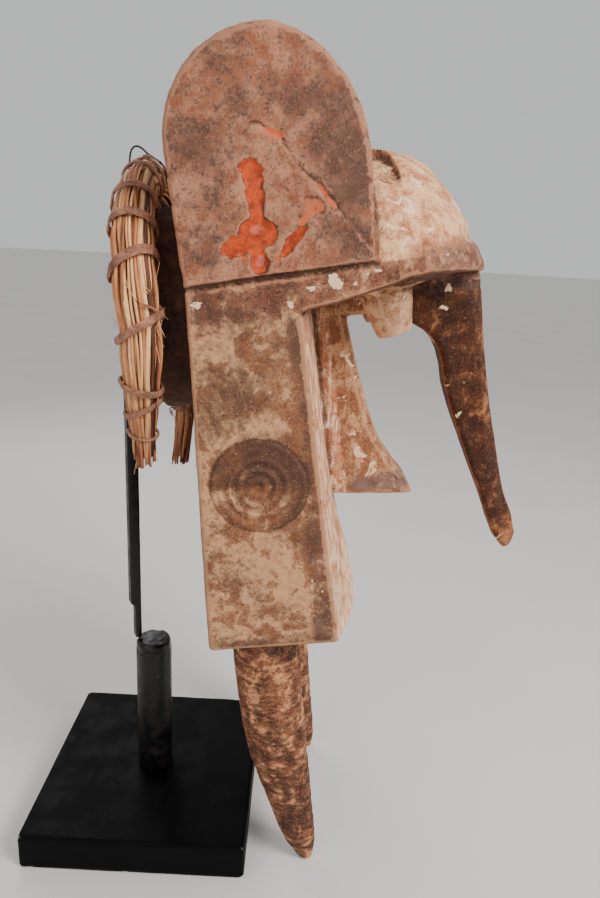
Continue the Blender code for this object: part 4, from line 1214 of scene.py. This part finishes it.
def iron_material():
    looks = bpy.context.scene.stand_looks
    s = Shade("black_iron_surface")
    here = s.place()
    broad = s.noise(here, 60.0, 5.0, 0.6, 0.3)
    fine = s.noise(here, 420.0, 4.0, 0.6)
    scratch = s.noise(s.place((0.0, 0.35, 0.2), (8.0, 8.0, 0.35)), 60.0, 3.0, 0.7)
    base = s.blend(s.step(broad, 0.45, 0.70, 0.0, 0.65), looks.iron[:], looks.rust[:])
    base = s.blend(s.step(fine, 0.66, 0.74, 0.0, 0.75), base, looks.scratch[:])
    base = s.blend(s.step(scratch, 0.68, 0.74, 0.0, 0.55), base, looks.scratch[:])
    wear = s.attribute("wear").outputs["Fac"]
    base = s.blend(s.times(wear, 0.5), base, looks.scratch[:])
    s.give("Base Color", base)
    s.give("Roughness", s.step(broad, 0.35, 0.65, 0.30, 0.52))
    s.give("Metallic", 0.35)
    s.bump(s.mixed(broad, 0.6, fine, 0.4), 0.0004, 0.7)
    return s.material


def slab_material():
    looks = bpy.context.scene.stand_looks
    s = Shade("chipped_paint_surface")
    here = s.place()
    broad = s.noise(here, 30.0, 5.0, 0.6, 0.3)
    fine = s.noise(here, 300.0, 5.0, 0.65)
    scratch = s.noise(s.place((0.0, 0.0, 0.5), (0.5, 9.0, 9.0)), 40.0, 3.0, 0.7)
    base = s.blend(s.step(broad, 0.46, 0.68, 0.0, 0.22), looks.paint[:], looks.worn[:])
    base = s.blend(s.step(scratch, 0.68, 0.76, 0.0, 0.30), base, looks.worn[:])
    chip = s.attribute("chip").outputs["Fac"]
    edge = s.step(s.plus(chip, s.swing(fine, 0.9)), 0.46, 0.60)
    wood = s.blend(s.step(fine, 0.35, 0.65), looks.bare[:], linear(70, 62, 42))
    base = s.blend(edge, base, wood)
    s.give("Base Color", base)
    s.give("Roughness", s.step(broad, 0.35, 0.65, 0.42, 0.62))
    s.give("Specular IOR Level", 0.07)
    s.bump(s.plus(s.times(fine, 0.5), s.times(edge, -0.6)), 0.0005, 0.6)
    return s.material


def stand_mesh(node):
    looks = bpy.context.scene.stand_looks
    mesh = joined_copy([node])
    mesh = through_modifier(mesh, "REMESH", mode="VOXEL", voxel_size=looks.voxel, use_smooth_shade=True)
    return mesh, read_points(mesh), read_normals(mesh), read_edges(mesh)


# Chipped corners of the foot: whether each is at its front, far and top end, and the chip's share of its size
CHIPPED_CORNERS = ((False, False, True, 1.0), (True, False, True, 0.9), (False, True, True, 0.9),
                   (True, True, True, 0.5), (True, False, False, 0.8), (False, False, False, 0.6))


def chipped_slab():
    """Square foot whose corners and edges are knocked off in places, down to pale wood."""
    looks = bpy.context.scene.stand_looks
    mesh, points, normals, edges = stand_mesh("base_slab")
    low, high = (np.array(corner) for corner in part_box("base_slab"))
    bite = np.zeros(len(points))
    for right, back, up, share in CHIPPED_CORNERS:
        corner = np.where([right, back, up], high, low)
        gap = np.linalg.norm(points - corner, axis=1)
        ragged = looks.chip * share * (1 + 0.35 * fractal(points, 0.006, 103, 2))
        bite = np.maximum(bite, 0.55 * np.clip(ragged - gap, 0.0, None))
    edge = bend_of(points, normals, edges, 6)
    sharp = ease(edge, 0.0002, 0.0006)
    nicks = sharp * ease(fractal(points, 0.013, 107), 0.25, 0.55)
    bottom = (points[:, 2] < low[2] + 0.004) & (points[:, 1] < low[1] + 0.004)
    bite = np.maximum(bite, 0.0012 * nicks)
    middle = 0.5 * (low + high)
    inward = unit((middle - points) * np.array([1.0, 1.0, 3.0]))
    ripple = 0.00015 * fractal(points, 0.020, 109) - 0.00015
    points = points + inward * bite[:, None] + normals * ripple[:, None]
    write_points(mesh, kept_inside(points, ["base_slab"]))
    chip = np.clip(bite / 0.0022, 0.0, 1.0) + 0.45 * bottom * ease(fractal(points, 0.010, 111), -0.2, 0.3)
    set_values(mesh, "chip", np.clip(chip, 0.0, 1.0))
    return mesh


def worn_iron(node, lumps_from=None):
    """Iron piece with soft waves, rubbed edges and, above a height, the lumps of its weld."""
    mesh, points, normals, edges = stand_mesh(node)
    shift = 0.00018 * fractal(points, 0.016, 121) - 0.0002
    if lumps_from is not None:
        weld = ease(points[:, 2], lumps_from, lumps_from + 0.004)
        shift = shift + weld * 0.0016 * (fractal(points, 0.0075, 123, 2) - 0.25)
    points = points + normals * shift[:, None]
    write_points(mesh, kept_inside(points, [node]))
    rubbed = ease(fractal(points, 0.02, 125), -0.1, 0.5)
    set_values(mesh, "wear", ease(bend_of(points, normals, edges, 5), 0.00025, 0.0008) * rubbed)
    return mesh


class BuildStand(bpy.types.Operator):
    """Wear the foot, the post and the bar, and finish the wire."""
    bl_idname = "elephant_mask.build_stand"
    bl_label = "Stand"

    def execute(self, context):
        iron = iron_material()
        add_piece("chipped_foot", chipped_slab(), slab_material(), ["base_slab"])
        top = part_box("socket_pipe")[1].z
        add_piece("welded_post", worn_iron("socket_pipe", top - 0.012), iron, ["socket_pipe"])
        add_piece("square_bar", worn_iron("rod"), iron, ["rod"])
        wire = Shade("dark_wire_surface")
        grey = wire.step(wire.noise(wire.place(), 300.0, 3.0, 0.6), 0.4, 0.7)
        wire.give("Base Color", wire.blend(grey, linear(30, 27, 30), linear(80, 72, 74)))
        wire.give("Metallic", 0.5)
        wire.give("Roughness", 0.45)
        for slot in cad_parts["tie_wire"].material_slots:
            slot.material = wire.material
        return {"FINISHED"}


# The stage

CAMERA_AT = (0.12795, -0.55096, 0.53790)
CAMERA_RIGHT = (0.998600, 0.012012, 0.051512)
CAMERA_UP = (-0.052787, 0.288397, 0.956055)
CAMERA_AHEAD = (0.003372, 0.957436, -0.288627)
CAMERA_LENS = 26.459


def add_light(name, at, to, size, power, tint):
    light = bpy.data.lights.new(name, "AREA")
    light.energy = power
    light.size = size
    light.color = tint
    obj = bpy.data.objects.new(name, light)
    obj.location = at
    obj.rotation_euler = (Vector(to) - Vector(at)).to_track_quat("-Z", "Y").to_euler()
    bpy.context.scene.collection.objects.link(obj)


class BuildStage(bpy.types.Operator):
    """Lay the floor and set the lights and the camera."""
    bl_idname = "elephant_mask.build_stage"
    bl_label = "Stage"

    def execute(self, context):
        looks = context.scene.stage_looks
        turn = np.linspace(0.0, 2 * math.pi, 97)[:-1]
        ring = np.stack([30.0 * np.cos(turn), 30.0 * np.sin(turn), np.zeros(96)], axis=1)
        mesh = bpy.data.meshes.new("floor")
        mesh.from_pydata(ring.tolist(), [], [list(range(96))])
        ground = Shade("floor_surface")
        soft = ground.step(ground.noise(ground.place(), 3.0, 2.0, 0.5), 0.3, 0.7, 0.0, 0.15)
        ground.give("Base Color", ground.blend(soft, looks.floor[:], linear(200, 198, 195)))
        ground.give("Roughness", 0.85)
        mesh.materials.append(ground.material)
        floor = bpy.data.objects.new("floor", mesh)
        context.scene.collection.objects.link(floor)

        middle = (0.11, 0.0, 0.36)
        add_light("key", (1.05, -0.75, 1.25), middle, 0.55, looks.key, (1.0, 0.965, 0.92))
        add_light("fill", (-0.75, -1.15, 0.75), middle, 0.9, looks.fill, (0.97, 0.98, 1.0))
        add_light("back", (-0.6, 1.1, 1.1), middle, 0.8, looks.back, (1.0, 0.99, 0.97))
        world = bpy.data.worlds.new("studio")
        world.use_nodes = True
        background = world.node_tree.nodes["Background"]
        background.inputs["Color"].default_value = (0.90, 0.905, 0.92, 1.0)
        background.inputs["Strength"].default_value = looks.sky
        context.scene.world = world

        camera = bpy.data.cameras.new("camera")
        camera.sensor_width = 36.0
        camera.lens = CAMERA_LENS
        obj = bpy.data.objects.new("camera", camera)
        turn_to = Matrix((CAMERA_RIGHT, CAMERA_UP, tuple(-v for v in CAMERA_AHEAD))).transposed().to_4x4()
        turn_to.translation = Vector(CAMERA_AT)
        obj.matrix_world = turn_to
        context.scene.collection.objects.link(obj)
        context.scene.camera = obj
        return {"FINISHED"}


# The panel

class MaskPanel(bpy.types.Panel):
    """Sizes, colours and steps of the elephant mask."""
    bl_idname = "VIEW3D_PT_elephant_mask"
    bl_label = "Elephant Mask"
    bl_space_type = "VIEW_3D"
    bl_region_type = "UI"
    bl_category = "Elephant Mask"

    def draw(self, context):
        for group, operators in PANEL_ROWS:
            box = self.layout.box()
            looks = getattr(context.scene, group)
            for name in looks.__class__.__annotations__:
                box.prop(looks, name)
            for operator in operators:
                box.operator(operator)


PANEL_ROWS = (
    ("mask_looks", ("elephant_mask.build_mask",)),
    ("hoop_looks", ("elephant_mask.build_hoop",)),
    ("lashing_looks", ("elephant_mask.build_lashings",)),
    ("stand_looks", ("elephant_mask.build_stand",)),
    ("stage_looks", ("elephant_mask.build_stage",)),
)
GROUPS = (("mask_looks", MaskLooks), ("hoop_looks", HoopLooks), ("lashing_looks", LashingLooks),
          ("stand_looks", StandLooks), ("stage_looks", StageLooks))
CLASSES = (MaskLooks, HoopLooks, LashingLooks, StandLooks, StageLooks, BuildMask, BuildHoop, BuildLashings,
           BuildStand, BuildStage, MaskPanel)


def register():
    for cls in CLASSES:
        bpy.utils.register_class(cls)
    for name, group in GROUPS:
        setattr(bpy.types.Scene, name, PointerProperty(type=group))


def unregister():
    for name, _ in GROUPS:
        delattr(bpy.types.Scene, name)
    for cls in reversed(CLASSES):
        bpy.utils.unregister_class(cls)


def main():
    register()
    bpy.ops.elephant_mask.build_stage()
    bpy.ops.elephant_mask.build_mask()
    bpy.ops.elephant_mask.build_hoop()
    bpy.ops.elephant_mask.build_lashings()
    bpy.ops.elephant_mask.build_stand()


if __name__ == "__main__":
    main()
